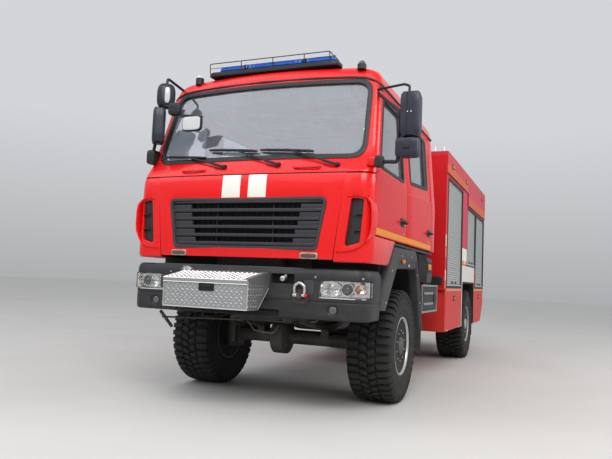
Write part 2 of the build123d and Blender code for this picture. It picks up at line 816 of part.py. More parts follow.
def shutters():
    found = []
    gap = seat_gap
    low, high = body_half - 32, body_half - 12
    for y0, y1, z0, z1 in side_openings:
        found += pair(block(low, high, y0 + gap, y1 - gap, z0 + gap, z1 - gap))
    x0, x1, z0, z1 = rear_opening
    found.append(block(x0 + gap, x1 - gap, body_rear - 32, body_rear - 12, z0 + gap, z1 - gap))
    return found


def roof_band():
    edge = body_half - body_wall
    profile = [(body_front, body_roof_z - 250), (5790, body_roof_z - 250), (5790, body_roof_z - 460),
               (body_rear, body_roof_z - 460), (body_rear, rail_cap_z), (body_front, rail_cap_z)]
    shape = side_prism(profile, body_half, body_half + band_thick)
    shape += block(edge, body_half, body_front, body_rear, body_roof_z, rail_cap_z)
    shape += mirrored(shape)
    for y in (body_front, body_rear - body_wall):
        shape += block(-body_half, body_half, y, y + body_wall, body_roof_z, rail_cap_z)
    return shape


def water_tank():
    inner = arch_inner - 140
    return block(-inner, inner, body_front + 300, body_rear - 850, body_floor_z + body_wall, 2450)


def rear_bumper():
    low, high = 540, 640
    half = body_half - 100
    shape = block(-half, half, rail_rear + 2, rail_rear + 82, low, high)
    shape += block(-60, 60, rail_rear + 10, tow_y + 45, high, high + tow_plate)
    shape -= rod((0, tow_y, high), (0, tow_y, high + tow_plate), tow_bore)
    for side in (-1, 1):
        ends = sorted((side * rail_x, side * (rail_x - rail_flange)))
        shape += block(ends[0], ends[1], rail_rear, rail_rear + 50, low + 60, rail_top)
    return shape


def ladders():
    # rear ladder to the roof
    stand = body_rear + ladder_stand
    rear = None
    for x in (760, 1100):
        rail = bent_tube([(x, stand, 900), (x, stand, 3320), (x, body_rear - 150, 3320),
                          (x, body_rear - 150, body_roof_z)], ladder_tube, 80)
        rail += rod((x, body_rear, 1400), (x, stand, 1400), 12)
        rail += rod((x, body_rear, 2700), (x, stand, 2700), 12)
        rear = rail if rear is None else rear + rail
    for step in range(8):
        z = 960 + 300 * step
        rear += rod((760, stand, z), (1100, stand, z), 14)
    # extension ladder stowed flat on the roof
    roof = None
    for x in (-950, -550):
        rail = block(x - 15, x + 15, 5050, 8050, 3125, 3175)
        for y in (5300, 7800):
            rail += block(x - 15, x + 15, y, y + 40, body_roof_z, 3126)
        roof = rail if roof is None else roof + rail
    for step in range(10):
        y = 5200 + 300 * step
        roof += rod((-950, y, 3150), (-550, y, 3150), 13)
    return [rear, roof]


def mud_flaps():
    return pair(block(wheel_x - 205, body_half - 15, arch_rear - 12, arch_rear, flap_bottom, 900))


# Roof monitor

def monitor_base():
    shape = rod((0, monitor_y, body_roof_z), (0, monitor_y, body_roof_z + 20), 170)
    return shape + rod((0, monitor_y, body_roof_z + 20), (0, monitor_y, monitor_base_top), 70)


def monitor_turret():
    low = monitor_base_top + seat_gap
    shape = rod((0, monitor_y, low), (0, monitor_y, low + 30), monitor_radius)
    for x in (-90, 60):
        shape += block(x, x + 30, monitor_y - 40, monitor_y + 40, low, tilt_z + 40)
    shape += block(-90, 90, monitor_y - 40, monitor_y + 40, low, low + 30)
    return shape - rod((-100, monitor_y, tilt_z), (100, monitor_y, tilt_z), 15 + running_gap)


def monitor_barrel():
    shape = rod((-90, monitor_y, tilt_z), (90, monitor_y, tilt_z), 15)
    shape += rod((-54, monitor_y, tilt_z), (54, monitor_y, tilt_z), 40)
    shape += rod((0, monitor_y, tilt_z), (0, monitor_y - barrel_length, tilt_z), 38)
    return shape + rod((0, monitor_y - barrel_length, tilt_z),
                       (0, monitor_y - barrel_length - 60, tilt_z), 50)


keep("frame_rails", frame_rails())
keep("front_axle", front_axle())
keep("rear_axle", rear_axle())
keep("leaf_springs", leaf_springs())
keep("engine_block", engine_block())
keep("drive_shafts", drive_shafts())
keep("front_bumper", front_bumper())
keep("tow_shackle", tow_shackle())
keep("lamps", lamps())
keep("tool_box", tool_box())
keep("cab_floor", cab_floor())
keep("cab_mounts", cab_mounts())
keep("cab_frame", cab_frame())
keep("cab_roof", cab_roof())
keep("corner_panels", corner_panels())
keep("windscreen", windscreen())
keep("wipers", wipers())
keep("seats", seats())
keep("dashboard", dashboard())
keep("front_arches", front_arches())
keep("mirrors", mirrors())
keep("light_bar", light_bar())
keep("battery_box", battery_box())
keep("fuel_tank", fuel_tank())
keep("body_floor", body_floor())
keep("body_walls", body_walls())
keep("body_roof", body_roof())
keep("lower_lockers", lower_lockers())
keep("water_tank", water_tank())
keep("shutters", shutters())
keep("roof_band", roof_band())
keep("rear_bumper", rear_bumper())
keep("ladders", ladders())
keep("mud_flaps", mud_flaps())
keep("monitor_base", monitor_base())
keep("monitor_turret", monitor_turret())
keep("monitor_barrel", monitor_barrel())
keep("tie_rod", tie_rod())
keep("knuckle_left", knuckle())
keep("knuckle_right", mirrored(knuckle()))
for place, y in (("front", front_axle_y), ("rear", rear_axle_y)):
    for name, make in (("tyre", tyre), ("rim", rim)):
        shape = Pos(wheel_x, y, axle_z) * make()
        keep(f"{name}_{place}_left", shape)
        keep(f"{name}_{place}_right", mirrored(shape))
for place, is_front in (("front", True), ("crew", False)):
    solids = door(is_front)
    keep(f"door_{place}_left", solids)
    keep(f"door_{place}_right", [mirrored(solid) for solid in solids])
for place, is_front in (("front", True), ("rear", False)):
    flap = step_flap(is_front)
    keep(f"flap_{place}_left", flap)
    keep(f"flap_{place}_right", mirrored(flap))
keep("front_panel", front_panel())
keep("grille", grille())
keep("tool_box_lid", tool_box_lid())

for name, shapes in nodes.items():
    solids = [solid for shape in shapes for solid in shape.solids()]
    export_step(Compound([Pos(-middle_x, -middle_y, 0) * solid for solid in solids]), f"parts/{name}.step")
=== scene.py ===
import bmesh
import bpy
import json
from math import copysign, cos, pi, radians, sin, sqrt, tan, tau
from mathutils import Matrix, Vector


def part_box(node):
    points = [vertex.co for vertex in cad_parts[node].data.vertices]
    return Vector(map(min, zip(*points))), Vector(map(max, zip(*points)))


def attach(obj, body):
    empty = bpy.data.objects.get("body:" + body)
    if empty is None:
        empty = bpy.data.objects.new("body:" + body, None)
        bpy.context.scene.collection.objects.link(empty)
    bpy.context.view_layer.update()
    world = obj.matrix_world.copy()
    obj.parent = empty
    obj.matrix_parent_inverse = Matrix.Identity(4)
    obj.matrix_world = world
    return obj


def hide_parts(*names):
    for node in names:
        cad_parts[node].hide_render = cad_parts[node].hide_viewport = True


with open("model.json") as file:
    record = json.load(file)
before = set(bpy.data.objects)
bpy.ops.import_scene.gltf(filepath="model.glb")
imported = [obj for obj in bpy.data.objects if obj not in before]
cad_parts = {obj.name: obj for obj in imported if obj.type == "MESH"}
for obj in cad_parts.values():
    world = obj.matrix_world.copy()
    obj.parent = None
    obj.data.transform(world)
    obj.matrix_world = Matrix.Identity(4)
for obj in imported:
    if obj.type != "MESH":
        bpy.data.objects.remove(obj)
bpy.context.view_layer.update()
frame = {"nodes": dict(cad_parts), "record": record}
print("frame loaded:", len(frame["nodes"]), "nodes")

hoodLow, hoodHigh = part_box("front_panel")
faceY = hoodLow.y                       # every y below is counted from the cab's front face, in metres,
faceX = (hoodLow.x + hoodHigh.x) / 2    # and every x from the vehicle's middle


# Shapes: lists of points, faces and material numbers. x points left, y to the rear, z up

def newShape():
    return {"points": [], "faces": [], "mats": []}


def addFaces(shape, points, faces, mat=0):
    start = len(shape["points"])
    shape["points"] += [tuple(p) for p in points]
    shape["faces"] += [tuple(start + i for i in face) for face in faces]
    shape["mats"] += [mat] * len(faces)


def addGrid(shape, rows, mat=0, closeRows=False, closeColumns=False):
    wide, high = len(rows[0]), len(rows)
    faces = []
    for r in range(high if closeColumns else high - 1):
        for c in range(wide if closeRows else wide - 1):
            d, e = (c + 1) % wide, (r + 1) % high
            faces.append((r * wide + c, r * wide + d, e * wide + d, e * wide + c))
    addFaces(shape, [p for row in rows for p in row], faces, mat)


def addBox(shape, low, high, mat=0):
    (x0, y0, z0), (x1, y1, z1) = low, high
    points = [(x0, y0, z0), (x1, y0, z0), (x1, y1, z0), (x0, y1, z0),
              (x0, y0, z1), (x1, y0, z1), (x1, y1, z1), (x0, y1, z1)]
    faces = [(0, 3, 2, 1), (4, 5, 6, 7), (0, 1, 5, 4), (1, 2, 6, 5), (2, 3, 7, 6), (3, 0, 4, 7)]
    addFaces(shape, points, faces, mat)


def placed(u, v, w, axis):
    return {"x": (w, u, v), "y": (u, w, v), "z": (u, v, w)}[axis]


def addPrism(shape, outline, axis, start, end, mat=0):
    n = len(outline)                    # the outline's pairs are the two other axes, in x, y, z order
    points = [placed(u, v, start, axis) for u, v in outline] + [placed(u, v, end, axis) for u, v in outline]
    faces = [tuple(range(n)), tuple(range(2 * n - 1, n - 1, -1))]
    faces += [(i, n + i, n + (i + 1) % n, (i + 1) % n) for i in range(n)]
    addFaces(shape, points, faces, mat)


def rectangle(u0, u1, v0, v1):
    return [(u0, v0), (u1, v0), (u1, v1), (u0, v1)]


def addTurned(shape, centre, axis, profile, mat=0, steps=48):
    rows = []                           # the profile's pairs are (offset along the axis, radius)
    for offset, radius in profile:
        ring = [placed(radius * cos(tau * k / steps), radius * sin(tau * k / steps), offset, axis)
                for k in range(steps)]
        rows.append([tuple(centre[i] + p[i] for i in range(3)) for p in ring])
    addGrid(shape, rows, mat, closeRows=True)
    for row, ring in ((0, profile[0]), (len(rows) - 1, profile[-1])):
        if ring[1] > 1e-6:
            addFaces(shape, rows[row], [tuple(range(steps))], mat)


def rounded(points, radius, steps=6, closed=False):
    found = []
    n = len(points)
    for i, p in enumerate(points):
        here = Vector(p)
        if not closed and i in (0, n - 1):
            found.append(here)
            continue
        before, after = Vector(points[i - 1]) - here, Vector(points[(i + 1) % n]) - here
        angle = before.angle(after)
        length = min(radius / max(tan(angle / 2), 1e-6), before.length * 0.49, after.length * 0.49)
        a, b = here + before.normalized() * length, here + after.normalized() * length
        for k in range(steps + 1):
            t = k / steps
            found.append(a * (1 - t) ** 2 + here * 2 * t * (1 - t) + b * t ** 2)
    return found


def addTube(shape, path, radius, mat=0, sides=10, closed=False):
    path = [Vector(p) for p in path]
    n = len(path)
    rows = []
    normal = None
    for i, p in enumerate(path):
        before = path[i - 1] if i or closed else p
        after = path[(i + 1) % n] if i < n - 1 or closed else p
        along = (after - before).normalized()
        if normal is None:
            normal = along.orthogonal().normalized()
        normal = (normal - along * normal.dot(along)).normalized()
        side = along.cross(normal)
        rows.append([p + (normal * cos(tau * k / sides) + side * sin(tau * k / sides)) * radius
                for k in range(sides)])
    addGrid(shape, rows, mat, closeRows=True, closeColumns=closed)
    if not closed:
        addFaces(shape, rows[0], [tuple(range(sides))], mat)
        addFaces(shape, rows[-1], [tuple(range(sides))], mat)


def addBolt(shape, centre, axis, radius, height, mat=0):
    washer, flange = radius * 1.5, height * 0.25
    profile = [(0, washer), (flange, washer), (flange, radius), (height, radius * 0.9)]
    if axis[0] == "-":
        profile = [(-o, r) for o, r in profile]
    addTurned(shape, centre, axis[-1], profile, mat, 12)


def addPillow(shape, low, high, mat=0, power=4.0, steps=16):
    centre = [(a + b) / 2 for a, b in zip(low, high)]
    half = [(b - a) / 2 for a, b in zip(low, high)]
    rows = []                           # a box with soft round edges, as a superquadric
    for i in range(steps + 1):
        v = -pi / 2 + pi * i / steps
        row = []
        for k in range(2 * steps):
            u = tau * k / (2 * steps)
            bits = (cos(v) * cos(u), cos(v) * sin(u), sin(v))
            size = sum(abs(b) ** power for b in bits) ** (1 / power)
            row.append(tuple(c + h * b / size for c, h, b in zip(centre, half, bits)))
        rows.append(row)
    addGrid(shape, rows, mat, closeRows=True)


def addLoft(shape, rows, mat=0):
    addGrid(shape, rows, mat, closeRows=True)
    for end in (rows[0], rows[-1]):
        addFaces(shape, end, [tuple(range(len(end)))], mat)


def addPads(shape, pads):
    # pads: name, then low corner, high corner, material, and a power that is higher for squarer edges
    for low, high, mat, power in pads.values():
        addPillow(shape, low, high, mat, power)


def addPipes(shape, pipes):
    # pipes: name, then radius, material, sides, radius of the bends, path
    for radius, mat, sides, bend, path in pipes.values():
        addTube(shape, rounded(path, bend) if bend else path, radius, mat, sides)


def mirrorShape(shape):
    return {"points": [(-x, y, z) for x, y, z in shape["points"]],
            "faces": [f[::-1] for f in shape["faces"]], "mats": list(shape["mats"])}


def joinShapes(*shapes):
    whole = newShape()
    for shape in shapes:
        start = len(whole["points"])
        whole["points"] += shape["points"]
        whole["faces"] += [tuple(start + i for i in f) for f in shape["faces"]]
        whole["mats"] += shape["mats"]
    return whole


def tidyMesh(mesh, merge, smoothAngle):
    work = bmesh.new()
    work.from_mesh(mesh)
    if merge:
        bmesh.ops.remove_doubles(work, verts=work.verts, dist=merge)
    bmesh.ops.dissolve_degenerate(work, edges=work.edges, dist=1e-6)
    bmesh.ops.recalc_face_normals(work, faces=work.faces)
    limit = radians(smoothAngle)
    for face in work.faces:
        face.smooth = True
    for edge in work.edges:
        edge.smooth = len(edge.link_faces) == 2 and edge.calc_face_angle(0) < limit
    work.to_mesh(mesh)
    work.free()


def newObject(name, data):
    piece = bpy.data.objects.new(name, data)
    bpy.context.scene.collection.objects.link(piece)
    return piece


def asList(materials):
    return materials if isinstance(materials, (list, tuple)) else [materials]


def makeObject(name, shape, materials, merge=1e-5, smoothAngle=35):
    mesh = bpy.data.meshes.new(name)
    mesh.from_pydata([(x + faceX, y + faceY, z) for x, y, z in shape["points"]], [], shape["faces"])
    for material in asList(materials):
        mesh.materials.append(material)
    mesh.polygons.foreach_set("material_index", shape["mats"])
    tidyMesh(mesh, merge, smoothAngle)
    return newObject(name, mesh)


def bevelled(piece, width=0.004, segments=2, angle=40):
    bevel = piece.modifiers.new("Bevel", "BEVEL")
    bevel.width = width
    bevel.segments = segments
    bevel.limit_method = "ANGLE"
    bevel.angle_limit = radians(angle)
    return piece


def settle(piece, smoothAngle=35):
    bpy.context.view_layer.update()
    graph = bpy.context.evaluated_depsgraph_get()
    mesh = bpy.data.meshes.new_from_object(piece.evaluated_get(graph))
    old = piece.data
    piece.modifiers.clear()
    piece.data = mesh
    bpy.data.meshes.remove(old)
    tidyMesh(mesh, 1e-6, smoothAngle)
    return piece


def addCut(piece, cutter, operation):
    step = piece.modifiers.new("Cut", "BOOLEAN")
    step.object = cutter
    step.operation = operation
    step.solver = "EXACT"


def carve(name, base, materials, keepInside=(), takeAway=(), bevel=0.004, smoothAngle=28):
    piece = newObject(name, base.data.copy())
    piece.data.materials.clear()
    for material in asList(materials):
        piece.data.materials.append(material)
    for solid in keepInside:
        addCut(piece, solid, "INTERSECT")
    for solid in takeAway:
        addCut(piece, solid, "DIFFERENCE")
    settle(piece, smoothAngle)
    piece.data.polygons.foreach_set("material_index", [0] * len(piece.data.polygons))
    if bevel:
        bevelled(piece, bevel, 2, 45)
        settle(piece, smoothAngle)
    return piece


spares = []


def cutter(outline, axis, start, end):
    shape = newShape()                  # a throwaway solid that a panel is cut with
    addPrism(shape, outline, axis, start, end)
    piece = makeObject("cutter", shape, [])
    piece.hide_render = True
    spares.append(piece)
    return piece


def ride(piece, body, slotName, *replaced):
    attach(piece, body)
    if replaced:
        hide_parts(*replaced)
    return piece


def fitted(name, shape, materials, slotName, *replaced, body="chassis"):
    return ride(makeObject(name, shape, materials), body, slotName, *replaced)


def bothSides(name, shape, materials, slotName, *replaced, bevel=0.0, **options):
    piece = makeObject(name, joinShapes(shape, mirrorShape(shape)), materials, **options)
    if bevel:
        bevelled(piece, bevel)
    return ride(piece, "chassis", slotName, *replaced)


sides = (("left", 1), ("right", -1))


# Shader node groups

def nodeGroup(name, inputs, outputs):
    group = bpy.data.node_groups.new(name, "ShaderNodeTree")
    for label, kind, value in inputs:
        socket = group.interface.new_socket(label, in_out="INPUT", socket_type="NodeSocket" + kind)
        socket.default_value = value
    for label, kind in outputs:
        group.interface.new_socket(label, in_out="OUTPUT", socket_type="NodeSocket" + kind)
    return group, group.nodes.new("NodeGroupInput"), group.nodes.new("NodeGroupOutput")


def newNode(nodes, kind, values):
    node = nodes.new(kind)
    setInputs(node, values)
    return node


def setInputs(node, values):
    for label, value in values.items():
        node.inputs[label].default_value = value


def joinNodes(tree, *pairs):
    for one, out, two, into in pairs:
        tree.links.new(one.outputs[out], two.inputs[into])


def mathNode(nodes, links, operation, *values):
    node = nodes.new("ShaderNodeMath")
    node.operation = operation
    for socket, value in zip(node.inputs, values):
        if isinstance(value, (int, float)):
            socket.default_value = value
        else:
            links.new(value, socket)
    return node.outputs[0]


def mixColours(nodes, links, factor, a, b):
    node = nodes.new("ShaderNodeMix")
    node.data_type = "RGBA"
    for socket, value in ((node.inputs[0], factor), (node.inputs[6], a), (node.inputs[7], b)):
        if isinstance(value, (int, float)):
            socket.default_value = value
        elif isinstance(value, tuple):
            socket.default_value = (*value, 1)
        else:
            links.new(value, socket)
    return node.outputs[2]


def addBump(nodes, links, height, strength, distance, normal):
    bump = newNode(nodes, "ShaderNodeBump", {"Strength": strength, "Distance": distance})
    links.new(height, bump.inputs["Height"])
    if normal:
        links.new(normal, bump.inputs["Normal"])
    return bump.outputs[0]


def buildGrimeGroup():
    group, inside, outside = nodeGroup("grime", [
        ("Base", "Color", (1, 1, 1, 1)), ("Dust", "Color", (0.3, 0.27, 0.23, 1)), ("Amount", "Float", 0.2),
        ("Rough", "Float", 0.3), ("Scale", "Float", 3.0), ("Low", "Float", 0.9)],
        [("Color", "Color"), ("Roughness", "Float")])
    nodes, links = group.nodes, group.links
    coords = nodes.new("ShaderNodeTexCoord")
    noise = newNode(nodes, "ShaderNodeTexNoise", {"Detail": 6, "Roughness": 0.62})
    speck = newNode(nodes, "ShaderNodeTexNoise", {"Scale": 38, "Detail": 4})
    split = nodes.new("ShaderNodeSeparateXYZ")
    # 1 near the road, 0.12 at the height called Low
    height = newNode(nodes, "ShaderNodeMapRange", {"To Min": 1, "To Max": 0.12})
    patch = newNode(nodes, "ShaderNodeMapRange", {"From Min": 0.38, "From Max": 0.72})
    joinNodes(group, (coords, "Object", noise, "Vector"), (inside, "Scale", noise, "Scale"),
              (coords, "Object", speck, "Vector"), (coords, "Object", split, 0),
              (split, "Z", height, "Value"), (inside, "Low", height, "From Max"),
              (noise, "Fac", patch, "Value"))
    both = mathNode(nodes, links, "MULTIPLY", patch.outputs[0], height.outputs[0])
    speckled = mathNode(nodes, links, "MULTIPLY_ADD", speck.outputs["Fac"], 0.5, both)
    amount = mathNode(nodes, links, "MULTIPLY", speckled, inside.outputs["Amount"])
    amount.node.use_clamp = True
    links.new(mixColours(nodes, links, amount, inside.outputs["Base"], inside.outputs["Dust"]),
              outside.inputs["Color"])
    rough = mathNode(nodes, links, "MULTIPLY_ADD", amount, 0.55, inside.outputs["Rough"])
    rough.node.use_clamp = True
    links.new(rough, outside.inputs["Roughness"])
    return group


def buildGrainGroup():
    group, inside, outside = nodeGroup("mouldGrain", [("Scale", "Float", 400.0)], [("Height", "Float")])
    coords = group.nodes.new("ShaderNodeTexCoord")
    cells = group.nodes.new("ShaderNodeTexVoronoi")
    joinNodes(group, (coords, "Object", cells, "Vector"), (inside, "Scale", cells, "Scale"),
              (cells, "Distance", outside, "Height"))
    return group


def buildBandGroup():
    group, inside, outside = nodeGroup("band", [("Value", "Float", 0.0), ("From", "Float", 0.0),
            ("To", "Float", 1.0)], [("Mask", "Float")])
    nodes, links = group.nodes, group.links
    edges = []
    for high, low in (("Value", "From"), ("To", "Value")):
        gap = mathNode(nodes, links, "SUBTRACT", inside.outputs[high], inside.outputs[low])
        edge = mathNode(nodes, links, "MULTIPLY", gap, 1500.0)
        edge.node.use_clamp = True
        edges.append(edge)
    links.new(mathNode(nodes, links, "MULTIPLY", *edges), outside.inputs["Mask"])
    return group


grimeGroup = buildGrimeGroup()
grainGroup = buildGrainGroup()
bandGroup = buildBandGroup()


def useGroup(material, group, **values):
    node = material.node_tree.nodes.new("ShaderNodeGroup")
    node.node_tree = group
    for label, value in values.items():
        socket = node.inputs[label]
        if isinstance(value, tuple):
            socket.default_value = (*value, 1)
        elif isinstance(value, (int, float)):
            socket.default_value = value
        else:
            material.node_tree.links.new(value, socket)
    return node


# Materials. bands: (axis, from, to, second axis, from, to, colour) painted over the base colour

bumpDepth = {"waves": 0.01, "grain": 0.0005}
coatRough = 0.06


def makeMaterial(name, colour, rough=0.4, metal=0.0, grime=0.2, dust=(0.3, 0.27, 0.23), low=0.9, coat=0.0,
        grain=0.0, grainScale=400.0, bands=(), waves=0.0, waveScale=5.0, scale=3.0, gloss=0.5):
    material = bpy.data.materials.new(name)
    material.use_nodes = True
    material.diffuse_color = (*colour, 1)
    nodes, links = material.node_tree.nodes, material.node_tree.links
    shader = nodes["Principled BSDF"]
    setInputs(shader, {"Metallic": metal, "Coat Weight": coat, "Coat Roughness": coatRough,
            "Specular IOR Level": gloss})
    coords = nodes.new("ShaderNodeTexCoord")
    base = colour
    if bands:
        split = nodes.new("ShaderNodeSeparateXYZ")
        links.new(coords.outputs["Object"], split.inputs[0])
        shift = {"X": faceX, "Y": faceY, "Z": 0}
        for axisA, fromA, toA, axisB, fromB, toB, tint in bands:
            masks = [useGroup(material, bandGroup, Value=split.outputs[axis], From=start + shift[axis],
                              To=end + shift[axis]).outputs[0]
                     for axis, start, end in ((axisA, fromA, toA), (axisB, fromB, toB))]
            base = mixColours(nodes, links, mathNode(nodes, links, "MULTIPLY", *masks), base, tint)
    dirt = useGroup(material, grimeGroup, Base=base, Dust=dust, Amount=grime, Rough=rough, Low=low,
            Scale=scale)
    links.new(dirt.outputs["Color"], shader.inputs["Base Color"])
    links.new(dirt.outputs["Roughness"], shader.inputs["Roughness"])
    normal = None
    if waves:
        noise = newNode(nodes, "ShaderNodeTexNoise", {"Scale": waveScale})
        links.new(coords.outputs["Object"], noise.inputs["Vector"])
        normal = addBump(nodes, links, noise.outputs["Fac"], waves, bumpDepth["waves"], normal)
    if grain:
        height = useGroup(material, grainGroup, Scale=grainScale).outputs[0]
        normal = addBump(nodes, links, height, grain, bumpDepth["grain"], normal)
    if normal:
        links.new(normal, shader.inputs["Normal"])
    return material


def makeGlass(name, colour, rough=0.03, ior=1.5, transmission=0.92, metal=0.0):
    material = bpy.data.materials.new(name)
    material.use_nodes = True
    material.diffuse_color = (*colour, 0.4)
    nodes, links = material.node_tree.nodes, material.node_tree.links
    shader = nodes["Principled BSDF"]
    coords = nodes.new("ShaderNodeTexCoord")
    noise = newNode(nodes, "ShaderNodeTexNoise", {"Scale": 7, "Detail": 5})
    links.new(coords.outputs["Object"], noise.inputs["Vector"])
    smeared = mathNode(nodes, links, "MULTIPLY", noise.outputs["Fac"], 1.5 * rough)
    links.new(smeared, shader.inputs["Roughness"])
    links.new(mixColours(nodes, links, noise.outputs["Fac"], colour, tuple(c * 0.93 for c in colour)),
              shader.inputs["Base Color"])
    setInputs(shader, {"IOR": ior, "Transmission Weight": transmission, "Metallic": metal})
    return material


tints = {
    "white": (0.8, 0.79, 0.72), "orange": (0.83, 0.3, 0.01), "cabRed": (0.74, 0.007, 0.009),
    "doorRed": (0.66, 0.007, 0.014), "bodyRed": (0.58, 0.008, 0.016), "bandOrange": (0.62, 0.1, 0.02),
    "pinkRed": (0.6, 0.018, 0.07), "skirtRed": (0.62, 0.035, 0.028)}

# where the painted stripes start and end
stripes = {
    "hoodRightX": (-0.244, -0.046), "hoodLeftX": (0.038, 0.228), "hoodZ": (1.985, 2.3),
    "doorY": (0.1, 2.93), "doorZ": (1.667, 1.727), "columnOrangeZ": (1.6, 1.66),
    "columnWhiteZ": (1.66, 1.87), "bodyX": (-2, 2), "bandFrontY": (3.6, 5.79),
    "bandFrontZ": (2.5, 2.985), "bandRearY": (5.79, 8.4), "bandRearZ": (2.5, 2.8)}


def stripe(one, two, tint):
    return (one[-1], *stripes[one], two[-1], *stripes[two], tints[tint])


newPaint = {"coat": 0.35, "waves": 0.03, "gloss": 0.4}
dullPaint = {"coat": 0.05, "gloss": 0.2}
mould = {"grain": 0.3, "low": 1.8}
redPaint = makeMaterial("cabPaint", tints["cabRed"], rough=0.26, grime=0.08, low=2.2, **newPaint)
hoodPaint = makeMaterial("hoodPaint", tints["cabRed"], rough=0.24, grime=0.06, low=2.0, **newPaint, bands=[
    stripe("hoodRightX", "hoodZ", "white"), stripe("hoodLeftX", "hoodZ", "white")])
doorPaint = makeMaterial("doorPaint", tints["doorRed"], rough=0.3, grime=0.12, coat=0.12, waves=0.04,
        low=2.4, gloss=0.2, bands=[stripe("doorZ", "doorY", "orange")])
bodyPaint = makeMaterial("bodyPaint", tints["bodyRed"], rough=0.38, grime=0.15, waves=0.06, low=2.0,
        **dullPaint)
skirtPaint = makeMaterial("skirtPaint", tints["skirtRed"], rough=0.4, grime=0.22, waves=0.06, low=1.3,
        **dullPaint)
pinkPaint = makeMaterial("columnPaint", tints["pinkRed"], grime=0.15, low=2.0, **dullPaint, bands=[
    stripe("columnOrangeZ", "bodyX", "orange"), stripe("columnWhiteZ", "bodyX", "white")])
bandPaint = makeMaterial("bandPaint", (0.58, 0.03, 0.05), rough=0.38, grime=0.14, low=2.0, **dullPaint,
        bands=[stripe("bandFrontZ", "bandFrontY", "bandOrange"),
               stripe("bandRearZ", "bandRearY", "bandOrange")])
archWhite = makeMaterial("archWhite", (0.72, 0.71, 0.66), rough=0.4, grime=0.3, low=1.8, coat=0.2)
tapeOrange = makeMaterial("tapeOrange", (0.8, 0.2, 0.015), rough=0.25, coat=0.4, grime=0.15, low=2.0)
anthracite = makeMaterial("anthracite", (0.02, 0.022, 0.026), rough=0.46, grime=0.12, **mould)
slatGrey = makeMaterial("slatGrey", (0.04, 0.042, 0.05), rough=0.48, grime=0.1, **mould)
fenderPlastic = makeMaterial("fenderPlastic", (0.04, 0.045, 0.053), rough=0.5, grime=0.2, **mould)
blackPlastic = makeMaterial("blackPlastic", (0.017, 0.018, 0.022), rough=0.42, grime=0.1, grain=0.25,
        low=1.6)
mirrorPlastic = makeMaterial("mirrorPlastic", (0.022, 0.026, 0.045), rough=0.36, grime=0.05, grain=0.2,
        low=3)
rubber = makeMaterial("sealRubber", (0.022, 0.024, 0.028), rough=0.5, grime=0.08, grain=0.2, grainScale=700)
# near-black for the insides of slots, holes, seams and recesses, as painted shade there; also the real dark
# faces of the dash's gauges and radio
shadeAndDialBlack = makeMaterial("shadeAndDialBlack", (0.006, 0.006, 0.007), rough=0.7, grime=0.05)
chassisBlack = makeMaterial("chassisPaint", (0.022, 0.022, 0.024), rough=0.5, grime=0.5, low=1.5, waves=0.05)
steel = makeMaterial("steel", (0.55, 0.55, 0.54), rough=0.32, metal=1.0, grime=0.2, waves=0.1, waveScale=60)
tyreRubber = makeMaterial("tyreRubber", (0.014, 0.014, 0.015), rough=0.7, grime=0.38,
        dust=(0.1, 0.1, 0.088), low=1.3, grain=0.3, grainScale=260, scale=6)
flapRubber = makeMaterial("flapRubber", (0.02, 0.02, 0.02), rough=0.7, grime=0.5, low=1.0)
rimGrey = makeMaterial("rimPaint", (0.42, 0.43, 0.43), rough=0.4, metal=0.35, grime=0.35, low=1.2)
hubGrey = makeMaterial("hubPaint", (0.07, 0.074, 0.08), rough=0.5, metal=0.2, grime=0.5, low=1.2)
treadPlate = makeMaterial("treadPlate", (0.4, 0.41, 0.42), rough=0.36, metal=0.75, grime=0.2, waves=0.3,
        waveScale=16, low=1.6)
# a lighter, glossier copy of the tread plate's metal for the raised lozenges: a painted highlight on their
# tops
treadRidgeHighlight = makeMaterial("treadRidgeHighlight", (0.8, 0.8, 0.79), rough=0.26, metal=0.7, grime=0.08, low=1.6)
shutterGrey = makeMaterial("shutterGrey", (0.5, 0.53, 0.52), rough=0.42, metal=0.55, grime=0.22, low=2.6)
chrome = makeMaterial("chrome", (0.86, 0.86, 0.84), rough=0.08, metal=1.0, grime=0.05, waves=0.25,
        waveScale=70)
lampFrame = makeMaterial("lampFrame", (0.42, 0.42, 0.38), rough=0.35, metal=0.5, grime=0.15, low=1.8)
yellowPaint = makeMaterial("ladderPaint", (0.8, 0.43, 0.02), rough=0.4, grime=0.2, coat=0.2, low=2.5)
floorGrey = makeMaterial("cabFloorGrey", (0.11, 0.11, 0.115), rough=0.75, grime=0.3, grain=0.5, low=2.0)
dashPlastic = makeMaterial("dashPlastic", (0.1, 0.1, 0.105), rough=0.6, grime=0.12, grain=0.4, low=2.5)
seatCloth = makeMaterial("seatCloth", (0.05, 0.053, 0.062), rough=0.85, grime=0.1, grain=0.8, grainScale=520,
        low=3)
tankPlastic = makeMaterial("tankPlastic", (0.45, 0.46, 0.46), rough=0.5, grime=0.2)
pinRed = makeMaterial("pinRed", (0.75, 0.02, 0.05), rough=0.35, grime=0.1)
steelShackle = makeMaterial("shackleSteel", (0.6, 0.6, 0.6), rough=0.34, metal=0.85, grime=0.12, low=1.6)
windowGlass = makeGlass("windowGlass", (0.72, 0.76, 0.82), rough=0.0, ior=1.9, transmission=0.85)
clearGlass = makeGlass("clearGlass", (0.95, 0.96, 0.96), rough=0.01, ior=1.45, transmission=0.95)
amberLens = makeGlass("amberLens", (0.95, 0.28, 0.02), rough=0.08, transmission=0.35)
markerLens = makeGlass("markerLens", (0.16, 0.12, 0.07), rough=0.12, transmission=0.2)
redLens = makeGlass("redLens", (0.75, 0.02, 0.02), rough=0.08, transmission=0.3)
blueLens = makeGlass("blueLens", (0.01, 0.16, 0.75), rough=0.1, transmission=0.3)
fogLens = makeGlass("fogLens", (0.2, 0.21, 0.22), rough=0.1, transmission=0.4)
whiteLens = makeGlass("whiteLens", (0.85, 0.86, 0.86), rough=0.12, transmission=0.3)
mirrorGlass = makeGlass("mirrorGlass", (0.66, 0.67, 0.68), rough=0.02, transmission=0.0, metal=1.0)
print("materials ready")


# Cab skin: rings of one smooth surface, from which each panel is carved

